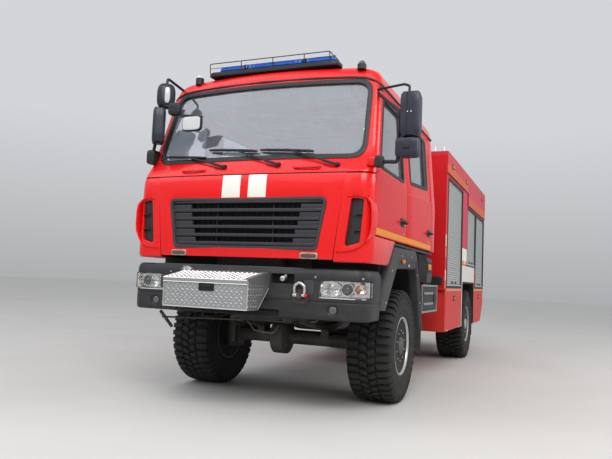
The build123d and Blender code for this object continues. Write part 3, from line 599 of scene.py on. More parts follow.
cabSkin = {
    "wall": 0.04, "rear": 2.92, "rearRadius": 0.07, "cornerSteps": 10, "crownY": 1.64,
    "crownRise": 0.002,
    # where the ring's points stand on its front, its sides and its rear, as shares of each
    "frontSteps": (0, 0.12, 0.24, 0.36, 0.48, 0.6, 0.7, 0.8, 0.88, 0.95),
    "sideSteps": (0.1, 0.25, 0.4, 0.55, 0.7, 0.85, 1.0), "rearSteps": (0.75, 0.5, 0.25, 0.0),
    # height, front edge, half width, corner radius, forward bow at the middle, inset of the rear
    "rings": [(1.4, 0.016, 1.236, 0.13, 0.02, 0.0), (1.412, 0.006, 1.246, 0.134, 0.022, 0.0),
              (1.43, 0.001, 1.25, 0.136, 0.024, 0.0), (1.5, -0.002, 1.25, 0.136, 0.026, 0.0),
              (1.65, -0.003, 1.25, 0.136, 0.028, 0.0), (1.8, -0.002, 1.25, 0.136, 0.03, 0.0),
              (1.95, 0.000, 1.25, 0.136, 0.03, 0.0), (2.08, 0.004, 1.25, 0.136, 0.03, 0.0),
              (2.16, 0.01, 1.25, 0.137, 0.03, 0.0), (2.21, 0.02, 1.25, 0.136, 0.035, 0.0),
              (2.26, 0.04, 1.246, 0.11, 0.055, 0.0), (2.31, 0.061, 1.241, 0.085, 0.08, 0.0),
              (2.36, 0.083, 1.237, 0.066, 0.11, 0.0), (2.5, 0.13, 1.225, 0.062, 0.114, 0.0),
              (2.75, 0.212, 1.204, 0.062, 0.114, 0.0), (2.95, 0.277, 1.187, 0.062, 0.113, 0.0),
              (3.06, 0.313, 1.178, 0.062, 0.112, 0.0), (3.12, 0.333, 1.173, 0.064, 0.11, 0.0),
              (3.2, 0.352, 1.158, 0.075, 0.11, 0.01), (3.24, 0.361, 1.143, 0.085, 0.108, 0.02),
              (3.275, 0.374, 1.118, 0.1, 0.105, 0.04), (3.305, 0.396, 1.08, 0.12, 0.1, 0.07),
              (3.33, 0.428, 1.03, 0.15, 0.09, 0.11), (3.35, 0.475, 0.96, 0.18, 0.08, 0.17),
              (3.363, 0.54, 0.88, 0.2, 0.07, 0.24), (3.37, 0.66, 0.76, 0.2, 0.05, 0.34),
              (3.375, 0.85, 0.6, 0.2, 0.03, 0.5)]}


def ringAt(front, half, radius, bow, rearInset, z, grow):
    half, rear = half + grow, cabSkin["rear"] - rearInset + grow
    front -= grow
    xc = half - radius
    found = [(xc * t, front + bow * t * t, z) for t in cabSkin["frontSteps"]]
    cy = front + bow + radius
    for k in range(cabSkin["cornerSteps"] + 1):
        a = -pi / 2 + pi / 2 * k / cabSkin["cornerSteps"]
        found.append((xc + radius * cos(a), cy + radius * sin(a), z))
    rr = cabSkin["rearRadius"]
    for t in cabSkin["sideSteps"]:
        found.append((half, cy + (rear - rr - cy) * t, z))
    for k in range(1, 6):
        a = pi / 2 * k / 5
        found.append((half - rr + rr * cos(a), rear - rr + rr * sin(a), z))
    for t in cabSkin["rearSteps"]:
        found.append(((half - rr) * t, rear, z))
    return found + [(-x, y, z) for x, y, z in found[-2:0:-1]]


def frontEdge(z):
    rings = cabSkin["rings"]            # front edge, half width, corner radius and bow at a height
    for a, b in zip(rings, rings[1:]):
        if a[0] <= z <= b[0]:
            t = (z - a[0]) / (b[0] - a[0])
            return tuple(a[i] + (b[i] - a[i]) * t for i in range(1, 5))
    return rings[-1][1:5]


def frontY(x, z):
    front, half, radius, bow = frontEdge(z)
    xc = half - radius
    if abs(x) <= xc:
        return front + bow * (x / xc) ** 2
    dx = min(abs(x) - xc, radius)
    return front + bow + radius - sqrt(max(radius ** 2 - dx ** 2, 0))


def makeSkin(name, grow=0.0, wall=None, lowest=0, highest=None):
    rings = cabSkin["rings"][lowest:highest]
    shape = newShape()
    rows = [ringAt(f, h, r, b, e, z, grow) for z, f, h, r, b, e in rings]
    addGrid(shape, rows, closeRows=True)
    if highest is None:
        crown, n = rows[-1], len(rows[-1])
        top = (0, cabSkin["crownY"], crown[0][2] + cabSkin["crownRise"])
        addFaces(shape, crown + [top], [(i, (i + 1) % n, n) for i in range(n)])
    skin = makeObject(name, shape, [])
    thick = skin.modifiers.new("Thick", "SOLIDIFY")
    thick.thickness = wall or cabSkin["wall"]
    thick.offset = -1
    thick.use_even_offset = True
    settle(skin)
    skin.hide_render = True
    spares.append(skin)
    return skin


# Outlines of the panels and openings, shared by the pieces that meet there

def grownOutline(points, grow):
    n = len(points)
    points = [Vector(p) for p in points]
    area = sum(points[i].x * points[(i + 1) % n].y - points[(i + 1) % n].x * points[i].y for i in range(n))
    sign = 1 if area > 0 else -1
    found = []
    for i, p in enumerate(points):
        one, two = (p - points[i - 1]).normalized(), (points[(i + 1) % n] - p).normalized()
        m, q = Vector((one.y, -one.x)) * sign, Vector((two.y, -two.x)) * sign
        found.append(tuple(p + (m + q) / max(1 + m.dot(q), 0.3) * grow))
    return found


def roundedOutline(points, radius, steps=6):
    return [(p.x, p.y) for p in rounded([Vector((*p, 0)) for p in points], radius, steps, closed=True)]


cabOpenings = {
    "hood": [(-0.906, 1.42), (0.906, 1.42), (1.000, 2.204), (-1.000, 2.204)],
    "grille": [(-0.752, 1.505), (0.752, 1.505), (0.832, 1.977), (-0.832, 1.977)],
    "windscreen": [(-1.135, 2.357), (1.135, 2.357), (1.1, 3.187), (-1.1, 3.187)],
    "doorFront": [(0.144, 1.655), (1.316, 1.655), (1.316, 3.08), (0.51, 3.08), (0.225, 2.262),
                  (0.144, 2.203)],
    "doorCrew": [(1.324, 1.655), (2.65, 1.655), (2.65, 3.08), (1.324, 3.08)],
    "windowFront": [(0.285, 2.29), (1.195, 2.29), (1.195, 3.003), (0.525, 3.003)],
    "windowCrew": [(1.505, 2.335), (2.425, 2.405), (2.425, 3.003), (1.505, 3.003)],
    "vent": [(1.01, 1.535), (1.15, 1.575), (1.176, 1.965), (1.061, 1.975)],
    "rearWindow": [(-0.5, 2.45), (0.5, 2.45), (0.5, 2.85), (-0.5, 2.85)]}

cabCuts = {
    "side": 1.4, "ahead": -0.2, "behind": 3.2, "under": 1.3, "sill": 1.652, "postRear": 0.1395,
    "postTop": 2.214, "doorGap": 0.007, "paneLap": 0.008, "screenLap": 0.004, "rubberLip": 0.043,
    "windowRadius": 0.05, "screenRadius": 0.15, "rearRadius": 0.06, "grilleRadius": 0.05, "ventRadius": 0.03,
    # how far in and out a cut through each wall reaches
    "screenDepth": (-0.3, 0.6), "rearDepth": (2.8, 3.1), "doorDepth": (1.05, 1.3), "panelDepth": (1.0, 1.4),
    # the corner panel from the left, and from the front what it leaves to the hood
    "corner": [(-0.2, 1.39), (0.629, 1.39), (0.655, 1.425), (0.862, 1.645), (0.1395, 1.645), (0.1395, 2.2),
               (-0.2, 2.2)],
    "hoodGap": [(-0.914, 1.3), (0.914, 1.3), (0.914, 1.42), (1.008, 2.3), (-1.008, 2.3), (-0.914, 1.42)]}


def sideCut(outline, s, depth):
    return cutter(outline, "x", s * cabCuts[depth][0], s * cabCuts[depth][1])


def buildCab():
    op, c = cabOpenings, cabCuts
    skin = makeSkin("cabSkin")
    screenHole = roundedOutline(op["windscreen"], c["screenRadius"], 8)
    rearHole = roundedOutline(op["rearWindow"], c["rearRadius"])
    doorHoles = [sideCut(grownOutline(op[d], c["doorGap"]), s, "doorDepth")
            for d in ("doorFront", "doorCrew") for s in (1, -1)]
    shell = carve("cabShell", skin, redPaint, takeAway=[
        cutter(rectangle(-c["side"], c["side"], c["under"], c["sill"]), "y", c["ahead"], c["behind"]),
        cutter(rectangle(c["ahead"], c["postRear"], c["under"], c["postTop"]), "x", -c["side"], c["side"]),
        cutter(screenHole, "y", *c["screenDepth"]), cutter(rearHole, "y", *c["rearDepth"]), *doorHoles],
        bevel=0.005)
    ride(shell, "chassis", "cab_red", "cab_frame", "cab_roof")
    grilleHole = roundedOutline(op["grille"], c["grilleRadius"])
    hood = carve("hoodPanel", skin, hoodPaint, keepInside=[cutter(op["hood"], "y", c["ahead"], 0.3)],
            takeAway=[cutter(grilleHole, "y", c["ahead"], 0.4)], bevel=0.007)
    ride(hood, "front_panel", "cab_red", "front_panel")
    vents = [roundedOutline([(s * x, z) for x, z in op["vent"]], c["ventRadius"]) for s in (1, -1)]
    corners = carve("cornerPanels", skin, redPaint, bevel=0.006,
            keepInside=[cutter(c["corner"], "x", -c["side"], c["side"])],
            takeAway=[cutter(c["hoodGap"], "y", -0.3, 0.4),
                      cutter(rectangle(-1.5, 1.5, 1.3, 2.3), "y", 0.9, c["behind"]),
                      *[cutter(vent, "y", c["ahead"], 0.4) for vent in vents]])
    ride(corners, "chassis", "cab_red", "corner_panels")
    paneSkin = makeSkin("paneSkin", grow=-0.022, wall=0.006, lowest=9, highest=19)
    for kind in ("front", "crew"):
        door, window = op["door" + kind.title()], op["window" + kind.title()]
        for sideName, s in sides:
            node = f"door_{kind}_{sideName}"
            panel = carve(node.replace("door", "doorPanel"), skin, doorPaint, bevel=0.005,
                    keepInside=[sideCut(door, s, "panelDepth")],
                    takeAway=[sideCut(roundedOutline(window, c["windowRadius"]), s, "panelDepth")])
            ride(panel, node, "cab_red", node)
            lapped = roundedOutline(grownOutline(window, c["paneLap"]), c["windowRadius"])
            pane = carve(node.replace("door", "pane"), paneSkin, windowGlass, bevel=0,
                    keepInside=[sideCut(lapped, s, "panelDepth")])
            ride(pane, node, "clear_glass")
    glassSkin = makeSkin("glassSkin", grow=-0.012, wall=0.006, lowest=10, highest=21)
    lapped = roundedOutline(grownOutline(op["windscreen"], c["screenLap"]), c["screenRadius"], 8)
    pane = carve("windscreenPane", glassSkin, windowGlass, bevel=0,
            keepInside=[cutter(lapped, "y", -0.3, 0.5)])
    ride(pane, "chassis", "clear_glass", "windscreen")
    rubberSkin = makeSkin("rubberSkin", grow=0.007, wall=0.03, lowest=10, highest=21)
    lip = roundedOutline(grownOutline(op["windscreen"], -c["rubberLip"]), 0.12, 8)
    seal = carve("windscreenRubber", rubberSkin, rubber, bevel=0.006, takeAway=[cutter(lip, "y", -0.4, 0.7)],
            keepInside=[cutter(screenHole, "y", *c["screenDepth"])])
    ride(seal, "chassis", "black_plastic")
    rearPane = newShape()
    addPrism(rearPane, rearHole, "y", 2.895, 2.901)
    fitted("rearPane", rearPane, windowGlass, "clear_glass")


def addFrame(shape, outline, axis, start, end, inner, outer, mat=0):
    rows = []                           # a flat ring that follows an outline
    for grow, w in ((outer, start), (outer, end), (inner, end), (inner, start)):
        rows.append([placed(p[0], p[1], w, axis) for p in grownOutline(outline, grow)])
    addGrid(shape, rows, mat, closeRows=True, closeColumns=True)


sideLean = 0.0846


def leaned(shape):
    # what is built on an upright side follows the cab's sides, which lean inwards above the waist
    shape["points"] = [(x - copysign(sideLean * max(0, z - 2.21), x), y, z) for x, y, z in shape["points"]]
    return shape


doorTrim = {
    # the window's name, its seal's lip, the ridge below it, the handle's front end, the inner card's ends
    "front": ("windowFront", 0.012, [(0.24, 2.243), (1.29, 2.262)], 1.08, (0.24, 1.27)),
    "crew": ("windowCrew", 0.02, [(1.36, 2.195), (2.62, 2.262), (2.632, 2.48)], 2.42, (1.37, 2.6)),
    "strip": [(2.27, 2.385), (2.42, 2.4), (2.42, 3.0), (2.27, 3.0)]}      # behind the crew's glass


def buildDoorTrim(kind, sideName, s):
    node = f"door_{kind}_{sideName}"
    windowName, lip, ridge, base, (low, high) = doorTrim[kind]
    shape = newShape()
    outline = roundedOutline(cabOpenings[windowName], 0.05, 8)
    addFrame(shape, outline, "x", s * 1.215, s * 1.2545, -0.022, lip)
    if kind == "crew":
        addPrism(shape, doorTrim["strip"], "x", s * 1.217, s * 1.249)
    seal = makeObject(node.replace("door", "windowSeal"), leaned(shape), rubber)
    ride(bevelled(seal, 0.004), node, "black_plastic")
    fittings = newShape()
    addTube(fittings, rounded([(s * 1.2475, y, z) for y, z in ridge], 0.03), 0.007, 0, 8)
    face = s * 1.251
    addPillow(fittings, (face - 0.006, base - 0.02, 1.822), (face + 0.006, base + 0.19, 1.908), 1, 6)
    grip = [(s * 1.25, base, 1.868), (s * 1.292, base + 0.015, 1.868), (s * 1.292, base + 0.135, 1.866),
            (s * 1.25, base + 0.15, 1.866)]
    addTube(fittings, rounded(grip, 0.02), 0.013, 1)
    lock = [(-0.01, 0.017), (s * 0.016, 0.017), (s * 0.018, 0.012)]
    addTurned(fittings, (s * 1.25, base + 0.115, 1.838), "x", lock, 2, 20)
    # a small white disc below the lock: a painted highlight, for a bright glint on the door
    addTurned(fittings, (s * 1.25, base + 0.1, 1.752), "x", [(-0.01, 0.011), (s * 0.006, 0.009)], 3, 16)
    paints = [redPaint, blackPlastic, steel, whiteLens]
    ride(makeObject(node.replace("door", "doorFittings"), leaned(fittings), paints), node, "black_plastic")
    inside = newShape()
    addPillow(inside, (s * 1.205 - 0.014, low, 1.72), (s * 1.205 + 0.006, high, 2.24), 0, 8)
    addPillow(inside, (s * 1.18 - 0.018, low + 0.3, 2.02), (s * 1.18 + 0.018, low + 0.62, 2.06), 0, 4)
    ride(makeObject(node.replace("door", "doorCard"), inside, dashPlastic), node, "black_plastic")


cabTrim = {
    # x and z of the rain gutter over the windscreen, then its way down and along the left side
    "gutter": [(0, 3.212), (0.55, 3.211), (0.9, 3.206), (1.03, 3.196), (1.11, 3.165)],
    "gutterSide": [(1.165, 0.475, 3.13), (1.177, 0.56, 3.119), (1.177, 2.84, 3.119)],
    "grips": ((-0.735, -0.465), (0.477, 0.738)), "gripHeight": 2.264}


def buildCabTrim():
    for kind in ("front", "crew"):
        for sideName, s in sides:
            buildDoorTrim(kind, sideName, s)
    trim = newShape()
    path = [(x, frontY(x, z) - 0.004, z) for x, z in cabTrim["gutter"]] + cabTrim["gutterSide"]
    addTube(trim, rounded([(-x, y, z) for x, y, z in path[:0:-1]] + path, 0.12, 5), 0.011, 0, 8)
    for s in (1, -1):
        addPillow(trim, (s * 1.15 - 0.02, 0.455, 3.04), (s * 1.15 + 0.03, 0.53, 3.125), 1, 4)
    fitted("gutterTrim", trim, [rubber, blackPlastic], "black_plastic")
    slots = newShape()
    z = cabTrim["gripHeight"]
    for x0, x1 in cabTrim["grips"]:
        y = frontY((x0 + x1) / 2, 2.262)
        bar = [(x0, y + 0.01, z), (x0 + 0.02, y - 0.022, z), (x1 - 0.02, y - 0.022, z), (x1, y + 0.01, z)]
        addTube(slots, rounded(bar, 0.015), 0.01, 0, 8)
        addPillow(slots, (x0 - 0.012, y - 0.008, z - 0.016), (x0 + 0.03, y + 0.02, z + 0.016), 0, 4)
        addPillow(slots, (x1 - 0.03, y - 0.008, z - 0.016), (x1 + 0.012, y + 0.02, z + 0.016), 0, 4)
        # the slot inside each grip is near-black: painted shade
        addPillow(slots, (x0 + 0.03, y - 0.001, z - 0.012), (x1 - 0.03, y + 0.02, z + 0.012), 1, 6)
    fitted("cowlGrips", slots, [redPaint, shadeAndDialBlack], "cab_red")
    # the hood's seams are near-black tubes: painted shade in the gaps
    seam = newShape()
    addTube(seam, [(x / 10, frontY(x / 10, 2.208) + 0.012, 2.208) for x in range(-11, 12)], 0.011, 0, 6)
    for s in (1, -1):
        side = [(s * (0.91 + 0.0235 * k), 1.42 + 0.196 * k) for k in range(5)]
        addTube(seam, [(x, frontY(x, z) + 0.011, z) for x, z in side], 0.01, 0, 6)
    fitted("hoodSeal", seam, shadeAndDialBlack, "black_plastic")


ventSizes = {
    # outer edge of the red blade that stands proud round each vent, as x and z from above
    "blade": [(1.035, 1.99), (1.14, 1.996), (1.21, 1.975), (1.246, 1.93), (1.256, 1.86), (1.256, 1.74),
              (1.246, 1.66), (1.22, 1.6), (1.17, 1.545), (1.1, 1.512), (1.00, 1.497), (0.95, 1.496)],
    "proud": (0.009, 0.015), "deep": (0.03, 0.1),        # at the inner end, and what is added at the outer
    "rods": (0.34, 0.67)}


def buildVents():
    shape = newShape()
    v = ventSizes
    rows = []
    for p in rounded([(x, z, 0) for x, z in v["blade"]], 0.05, 3):
        x, z = p.x, p.y
        out = min(max((x - 1.05) / 0.2, 0), 1)
        face = frontY(min(x, 1.2), z) - 0.004
        y0, y1 = face - v["proud"][0] - v["proud"][1] * out, face + v["deep"][0] + v["deep"][1] * out
        rows.append([(x, y0, z), (x + 0.004, y0 + 0.012, z + 0.004), (x + 0.004, y1, z + 0.004),
                (x - 0.01, y1, z - 0.006), (x - 0.014, y0 + 0.012, z - 0.01),
                (x - 0.008, y0 + 0.002, z - 0.006)])
    addLoft(shape, rows)
    vent = cabOpenings["vent"]
    addPrism(shape, grownOutline(vent, 0.03), "y", 0.062, 0.072, 1)
    addBox(shape, (0.93, 0.07, 1.404), (1.2, 0.6, 1.41), 1)
    for t in v["rods"]:
        z = vent[0][1] + (vent[3][1] - vent[0][1]) * t
        addBox(shape, (1.075 + 0.03 * t, 0.03, z - 0.003), (1.158 + 0.02 * t, 0.07, z + 0.003), 2)
    bothSides("ventScoops", shape, [redPaint, anthracite, slatGrey], "cab_red", smoothAngle=50)


grilleSizes = {
    "rows": 5, "top": 1.93, "bottom": 1.535, "slat": 0.03, "endGap": 0.008,
    "opening": [0.585, 0.575, 0.56, 0.535, 0.52],
    # the frame's section: how far out of the opening, and y
    "frame": [(0.006, 0.03), (0.01, -0.004), (0.004, -0.012), (-0.018, -0.012), (-0.028, 0.004),
              (-0.028, 0.04)],
    "ribs": (-0.3, 0.3), "mesh": (22, -0.63, 0.06), "screws": (-0.065, 0.065)}


def grilleHalf(z):
    return 0.752 + (z - 1.505) / 0.472 * 0.08


def hoodBow(x):
    return 0.028 * (x / 1.1) ** 2


def addSlat(shape, x0, x1, z0, z1, y0, y1, cells=14):
    rows = []                           # a bar that follows the hood's bow
    for k in range(cells + 1):
        x = x0 + (x1 - x0) * k / cells
        b = hoodBow(x)
        rows.append([(x, y1 + b, z1), (x, y0 + 0.004 + b, z1), (x, y0 + b, z1 - 0.006),
                (x, y0 + 0.006 + b, z0), (x, y1 + b, z0)])
    addLoft(shape, rows)


def buildGrille():
    g = grilleSizes
    shape = newShape()
    outline = roundedOutline(cabOpenings["grille"], 0.05, 8)
    rows = [[(x, y + hoodBow(x), z) for x, z in grownOutline(outline, grow)] for grow, y in g["frame"]]
    addGrid(shape, rows, 0, closeRows=True)
    pitch = (g["top"] - g["bottom"]) / g["rows"]
    half = grilleHalf(1.95) - 0.02
    addSlat(shape, -half, half, g["top"] + 0.004, 1.972, 0.0, 0.04)
    for i in range(g["rows"]):
        top = g["top"] - pitch * i
        half = grilleHalf(top - pitch / 2) - 0.018
        slatTop = top - pitch + g["slat"]
        addSlat(shape, -half, half, top - pitch, slatTop, 0.0, 0.05)
        for s in (1, -1):
            x0, x1 = sorted((s * g["opening"][i], s * half))
            addSlat(shape, x0, x1, slatTop - 0.002, top - g["endGap"], 0.006, 0.045, 4)
    for x in g["ribs"]:
        addBox(shape, (x - 0.005, 0.04, 1.52), (x + 0.005, 0.052, 1.95))
    # near-black upright bars behind the slats: painted shade for the dark space behind the grille
    count, first, step = g["mesh"]
    for k in range(count):
        x = first + step * k
        addBox(shape, (x - 0.002, 0.058, 1.53), (x + 0.002, 0.064, 1.94), 1)
    for x in g["screws"]:
        addTurned(shape, (x, 0.05, 1.865), "y", [(0, 0.012), (-0.012, 0.011), (-0.014, 0.006)], 2, 16)
    # a near-black sheet behind the grille: painted shade
    addBox(shape, (-0.76, 0.066, 1.515), (0.76, 0.07, 1.965), 1)
    piece = makeObject("grilleBars", shape, [slatGrey, shadeAndDialBlack, steel])
    ride(bevelled(piece, 0.0025, 1), "front_panel", "black_plastic", "grille")
    lamps = newShape()
    for x in (-0.692, 0.685):
        z = 1.45
        y = frontY(x, z)
        addPillow(lamps, (x - 0.086, y - 0.012, z - 0.029), (x + 0.086, y + 0.01, z + 0.029), 0, 8)
        addPillow(lamps, (x - 0.073, y - 0.02, z - 0.018), (x + 0.073, y, z + 0.018), 1, 6)
    ride(makeObject("hoodMarkers", lamps, [lampFrame, markerLens]), "front_panel", "black_plastic")


wiperSizes = {
    # columns: pivot x and z, outer blade end x and z, inner blade end x and z
    "places": [(-0.257, 2.291, -1.039, 2.444, -0.504, 2.403), (0.318, 2.296, -0.483, 2.485, 0.069, 2.448),
               (0.898, 2.284, 0.102, 2.458, 0.641, 2.43)],
    "pivot": [(0.012, 0.026), (-0.012, 0.024), (-0.03, 0.017), (-0.036, 0.01)],
    # radius, material, drop below the blade, then share of the blade's length and height over the glass
    "rails": [(0.009, 0, 0.0, ((0, 0.016), (0.25, 0.016), (0.5, 0.016), (0.75, 0.016), (1, 0.016))),
              (0.011, 0, 0.0, ((0.06, 0.018), (0.25, 0.03), (0.5, 0.034), (0.75, 0.03), (0.94, 0.018))),
              (0.004, 1, 0.008, ((0, 0.009), (0.5, 0.009), (1, 0.009)))]}


def overGlass(x, z, height):
    return x, frontY(x, z) - height, z


def buildWipers():
    shape = newShape()
    for px, pz, ax, az, bx, bz in wiperSizes["places"]:
        mx, mz = ax * 0.42 + bx * 0.58, az * 0.42 + bz * 0.58
        addTurned(shape, overGlass(px, pz, 0.0), "y", wiperSizes["pivot"], 0, 20)
        elbow = (px * 0.72 + mx * 0.28, pz * 0.72 + mz * 0.28)
        arm = [overGlass(px, pz, 0.024), overGlass(*elbow, 0.036), overGlass(mx, mz, 0.03)]
        addTube(shape, arm, 0.0085, 0, 8)
        addTube(shape, [overGlass(px, pz, 0.03), overGlass(*elbow, 0.046)], 0.013, 0, 8)
        for radius, mat, drop, points in wiperSizes["rails"]:
            rail = [overGlass(ax + (bx - ax) * t, az + (bz - az) * t - drop, h) for t, h in points]
            addTube(shape, rail, radius, mat, 8)
    fitted("wiperArms", shape, [blackPlastic, rubber], "black_plastic", "wipers")


buildCab()
buildCabTrim()
buildVents()
buildGrille()
buildWipers()
print("cab ready")


# One Geometry Nodes tree makes everything that repeats: each copy is turned and shifted by one more step

def buildRepeatTree():
    tree = bpy.data.node_groups.new("repeatRow", "GeometryNodeTree")
    sockets = {}
    for label, kind in (("Geometry", "Geometry"), ("Count", "Int"), ("Turn", "Vector"), ("Shift", "Vector"),
            ("Wear", "Float"), ("Seed", "Int"), ("Material", "Material")):
        item = tree.interface.new_socket(label, in_out="INPUT", socket_type="NodeSocket" + kind)
        sockets[label] = item.identifier
    tree.interface.new_socket("Geometry", in_out="OUTPUT", socket_type="NodeSocketGeometry")
    add = tree.nodes.new
    inside, outside, index = add("NodeGroupInput"), add("NodeGroupOutput"), add("GeometryNodeInputIndex")
    shift, spin, worn, place = [add("ShaderNodeVectorMath") for _ in range(4)]
    for node in (shift, spin, worn):
        node.operation = "SCALE"
    chance = add("FunctionNodeRandomValue")
    chance.data_type = "FLOAT_VECTOR"
    chance.inputs["Min"].default_value = (-1, -1, -1)
    points, turn = add("GeometryNodePoints"), add("FunctionNodeEulerToRotation")
    copies, real = add("GeometryNodeInstanceOnPoints"), add("GeometryNodeRealizeInstances")
    finish = add("GeometryNodeSetMaterial")
    joinNodes(tree, (inside, "Shift", shift, 0), (index, 0, shift, "Scale"), (inside, "Turn", spin, 0),
              (index, 0, spin, "Scale"), (inside, "Seed", chance, "Seed"), (chance, 0, worn, 0),
              (inside, "Wear", worn, "Scale"), (shift, 0, place, 0), (worn, 0, place, 1),
              (inside, "Count", points, "Count"), (place, 0, points, "Position"), (spin, 0, turn, 0),
              (points, 0, copies, "Points"), (inside, "Geometry", copies, "Instance"),
              (turn, 0, copies, "Rotation"), (copies, 0, real, 0), (real, 0, finish, "Geometry"),
              (inside, "Material", finish, "Material"), (finish, 0, outside, 0))
    return tree, sockets


repeatTree, repeatSockets = buildRepeatTree()


def repeatShape(unit, count, turn=(0, 0, 0), shift=(0, 0, 0), wear=0.0, seed=1, mat=0, material=None):
    mesh = bpy.data.meshes.new("unit")
    mesh.from_pydata(unit["points"], [], unit["faces"])
    piece = newObject("unit", mesh)
    row = piece.modifiers.new("Repeat", "NODES")
    row.node_group = repeatTree
    for label, value in (("Count", count), ("Turn", turn), ("Shift", shift), ("Wear", wear), ("Seed", seed),
            ("Material", material or steel)):
        row[repeatSockets[label]] = value
    bpy.context.view_layer.update()
    whole = bpy.data.meshes.new_from_object(piece.evaluated_get(bpy.context.evaluated_depsgraph_get()))
    shape = newShape()
    addFaces(shape, [v.co for v in whole.vertices], [tuple(f.vertices) for f in whole.polygons], mat)
    bpy.data.objects.remove(piece)
    bpy.data.meshes.remove(mesh)
    bpy.data.meshes.remove(whole)
    return shape


def moved(shape, offset, flip=False):
    points = [(-x, y, z) for x, y, z in shape["points"]] if flip else shape["points"]
    faces = [f[::-1] for f in shape["faces"]] if flip else list(shape["faces"])
    return {"points": [tuple(a + b for a, b in zip(p, offset)) for p in points], "faces": faces,
            "mats": list(shape["mats"])}


# Wheels

wheelSizes = {
    "x": 1.025, "z": 0.585, "front": 1.352, "rear": 6.032, "lugs": 44, "nuts": 10, "nutCircle": 0.158,
    "holeCircle": 0.226, "wear": 0.0006,
    # the tyre's outer side from bead to crown: offset from the middle, radius
    "side": [(0.19, 0.29), (0.196, 0.304), (0.209, 0.309), (0.214, 0.318), (0.2165, 0.335), (0.221, 0.365),
             (0.2215, 0.372), (0.2235, 0.375), (0.2235, 0.38), (0.2222, 0.383), (0.2228, 0.43),
             (0.2222, 0.452), (0.224, 0.455), (0.224, 0.463), (0.2216, 0.466), (0.22, 0.5),
             (0.212, 0.535), (0.196, 0.553), (0.15, 0.558), (0.0, 0.56)],
    # a shoulder lug: crown offset and radius, root offset and radius, width
    "lug": [(0.086, 0.572, 0.09, 0.55, 0.04), (0.094, 0.585, 0.096, 0.55, 0.044),
            (0.15, 0.5845, 0.15, 0.55, 0.046), (0.19, 0.5805, 0.184, 0.546, 0.047),
            (0.2135, 0.566, 0.194, 0.54, 0.047), (0.2255, 0.532, 0.204, 0.525, 0.046),
            (0.2245, 0.494, 0.212, 0.49, 0.042)],
    # a middle block: offset, width, radius; it slants by a share of the offset
    "block": [(0.004, 0.03, 0.58), (0.012, 0.046, 0.5845), (0.06, 0.052, 0.585), (0.078, 0.04, 0.581)],
    "slant": 0.3,
    # the rim's ring and its disc: offset, radius
    "ring": [(0.195, 0.3), (0.204, 0.306), (0.21, 0.301), (0.208, 0.29), (0.192, 0.28), (0.15, 0.274)],
    "disc": [(0.15, 0.274), (0.1, 0.266), (0.088, 0.251), (0.085, 0.228), (0.096, 0.207), (0.138, 0.196),
             (0.15, 0.19), (0.152, 0.115), (0.14, 0.115), (0.134, 0.182), (0.085, 0.197), (0.073, 0.228),
             (0.078, 0.252), (0.07, 0.262), (-0.15, 0.266), (-0.19, 0.278), (-0.207, 0.288),
             (-0.209, 0.3), (-0.204, 0.305), (-0.19, 0.29), (-0.1, 0.281), (0.1, 0.281),
             (0.185, 0.288), (0.195, 0.3)],
    "hub": [(0.1, 0.132), (0.156, 0.13), (0.161, 0.12), (0.176, 0.116), (0.18, 0.096), (0.2, 0.09),
            (0.206, 0.078), (0.208, 0.045), (0.214, 0.042), (0.216, 0.0)],
    "drum": [(-0.06, 0.2), (-0.055, 0.232), (0.06, 0.236), (0.07, 0.22)]}


def tyreShape():
    w = wheelSizes
    shape = newShape()
    addTurned(shape, (0, 0, 0), "x", w["side"] + [(-o, r) for o, r in w["side"][-2::-1]], 0, 112)
    lug = newShape()
    addLoft(lug, [[(xi, -wide / 2 - 0.005, ri), (xo, -wide / 2, ro), (xo, wide / 2, ro),
            (xi, wide / 2 + 0.005, ri)] for xo, ro, xi, ri, wide in w["lug"]])
    core = newShape()
    rows = []
    for x, wide, r in w["block"]:
        y = x * w["slant"]
        rows.append([(x, y - wide / 2 - 0.004, 0.55), (x, y - wide / 2, r), (x, y + wide / 2, r),
                (x, y + wide / 2 + 0.004, 0.55)])
    addLoft(core, rows)
    pitch = tau / w["lugs"]
    for unit, phase in ((lug, 0), (core, 0.5)):
        whole = repeatShape(unit, w["lugs"], (pitch, 0, 0), wear=w["wear"], material=tyreRubber)
        for flip, turn in ((False, phase * pitch), (True, (phase + 0.5) * pitch)):
            c, s = cos(turn), sin(turn)
            spun = {**whole, "points": [(x, y * c - z * s, y * s + z * c) for x, y, z in whole["points"]]}
            shape = joinShapes(shape, moved(spun, (0, 0, 0), flip))
    return shape


def rimShape(steered):
    w = wheelSizes
    shape = newShape()
    for part, mat in ((w["ring"], 1), (w["disc"], 0)):
        rows = [[(o, r * cos(tau * k / 72), r * sin(tau * k / 72)) for k in range(72)]
                for o, r in part]
        addGrid(shape, rows, mat, closeRows=True)
    addTurned(shape, (0, 0, 0), "x", w["hub"], 2 if steered else 0, 48)
    nut, hole, valve = newShape(), newShape(), newShape()
    centre, pitch = (0, 0, w["nutCircle"]), (tau / w["nuts"], 0, 0)
    addTurned(nut, centre, "x", [(0.148, 0.021), (0.156, 0.021), (0.157, 0.017)], 0, 18)
    addTurned(nut, centre, "x", [(0.154, 0.0165), (0.18, 0.0165), (0.183, 0.0125)], 0, 6)
    addTurned(nut, centre, "x", [(0.18, 0.008), (0.196, 0.008), (0.198, 0.006)], 0, 10)
    nuts = repeatShape(nut, w["nuts"], pitch, mat=3, material=steel)
    # the disc's holes are near-black discs: painted shade for the holes
    addTurned(hole, (0, 0, w["holeCircle"]), "x", [(0.08, 0.017), (0.0885, 0.017)], 0, 18)
    holes = repeatShape(hole, w["nuts"], pitch, mat=4, material=shadeAndDialBlack)
    addTube(valve, [(0.09, 0.03, 0.245), (0.12, 0.03, 0.25), (0.15, 0.03, 0.262)], 0.005, 3, 8)
    drum = newShape()                   # brake drum seen through the wheel
    addTurned(drum, (0, 0, 0), "x", w["drum"], 2, 40)
    return joinShapes(shape, nuts, holes, valve, drum)


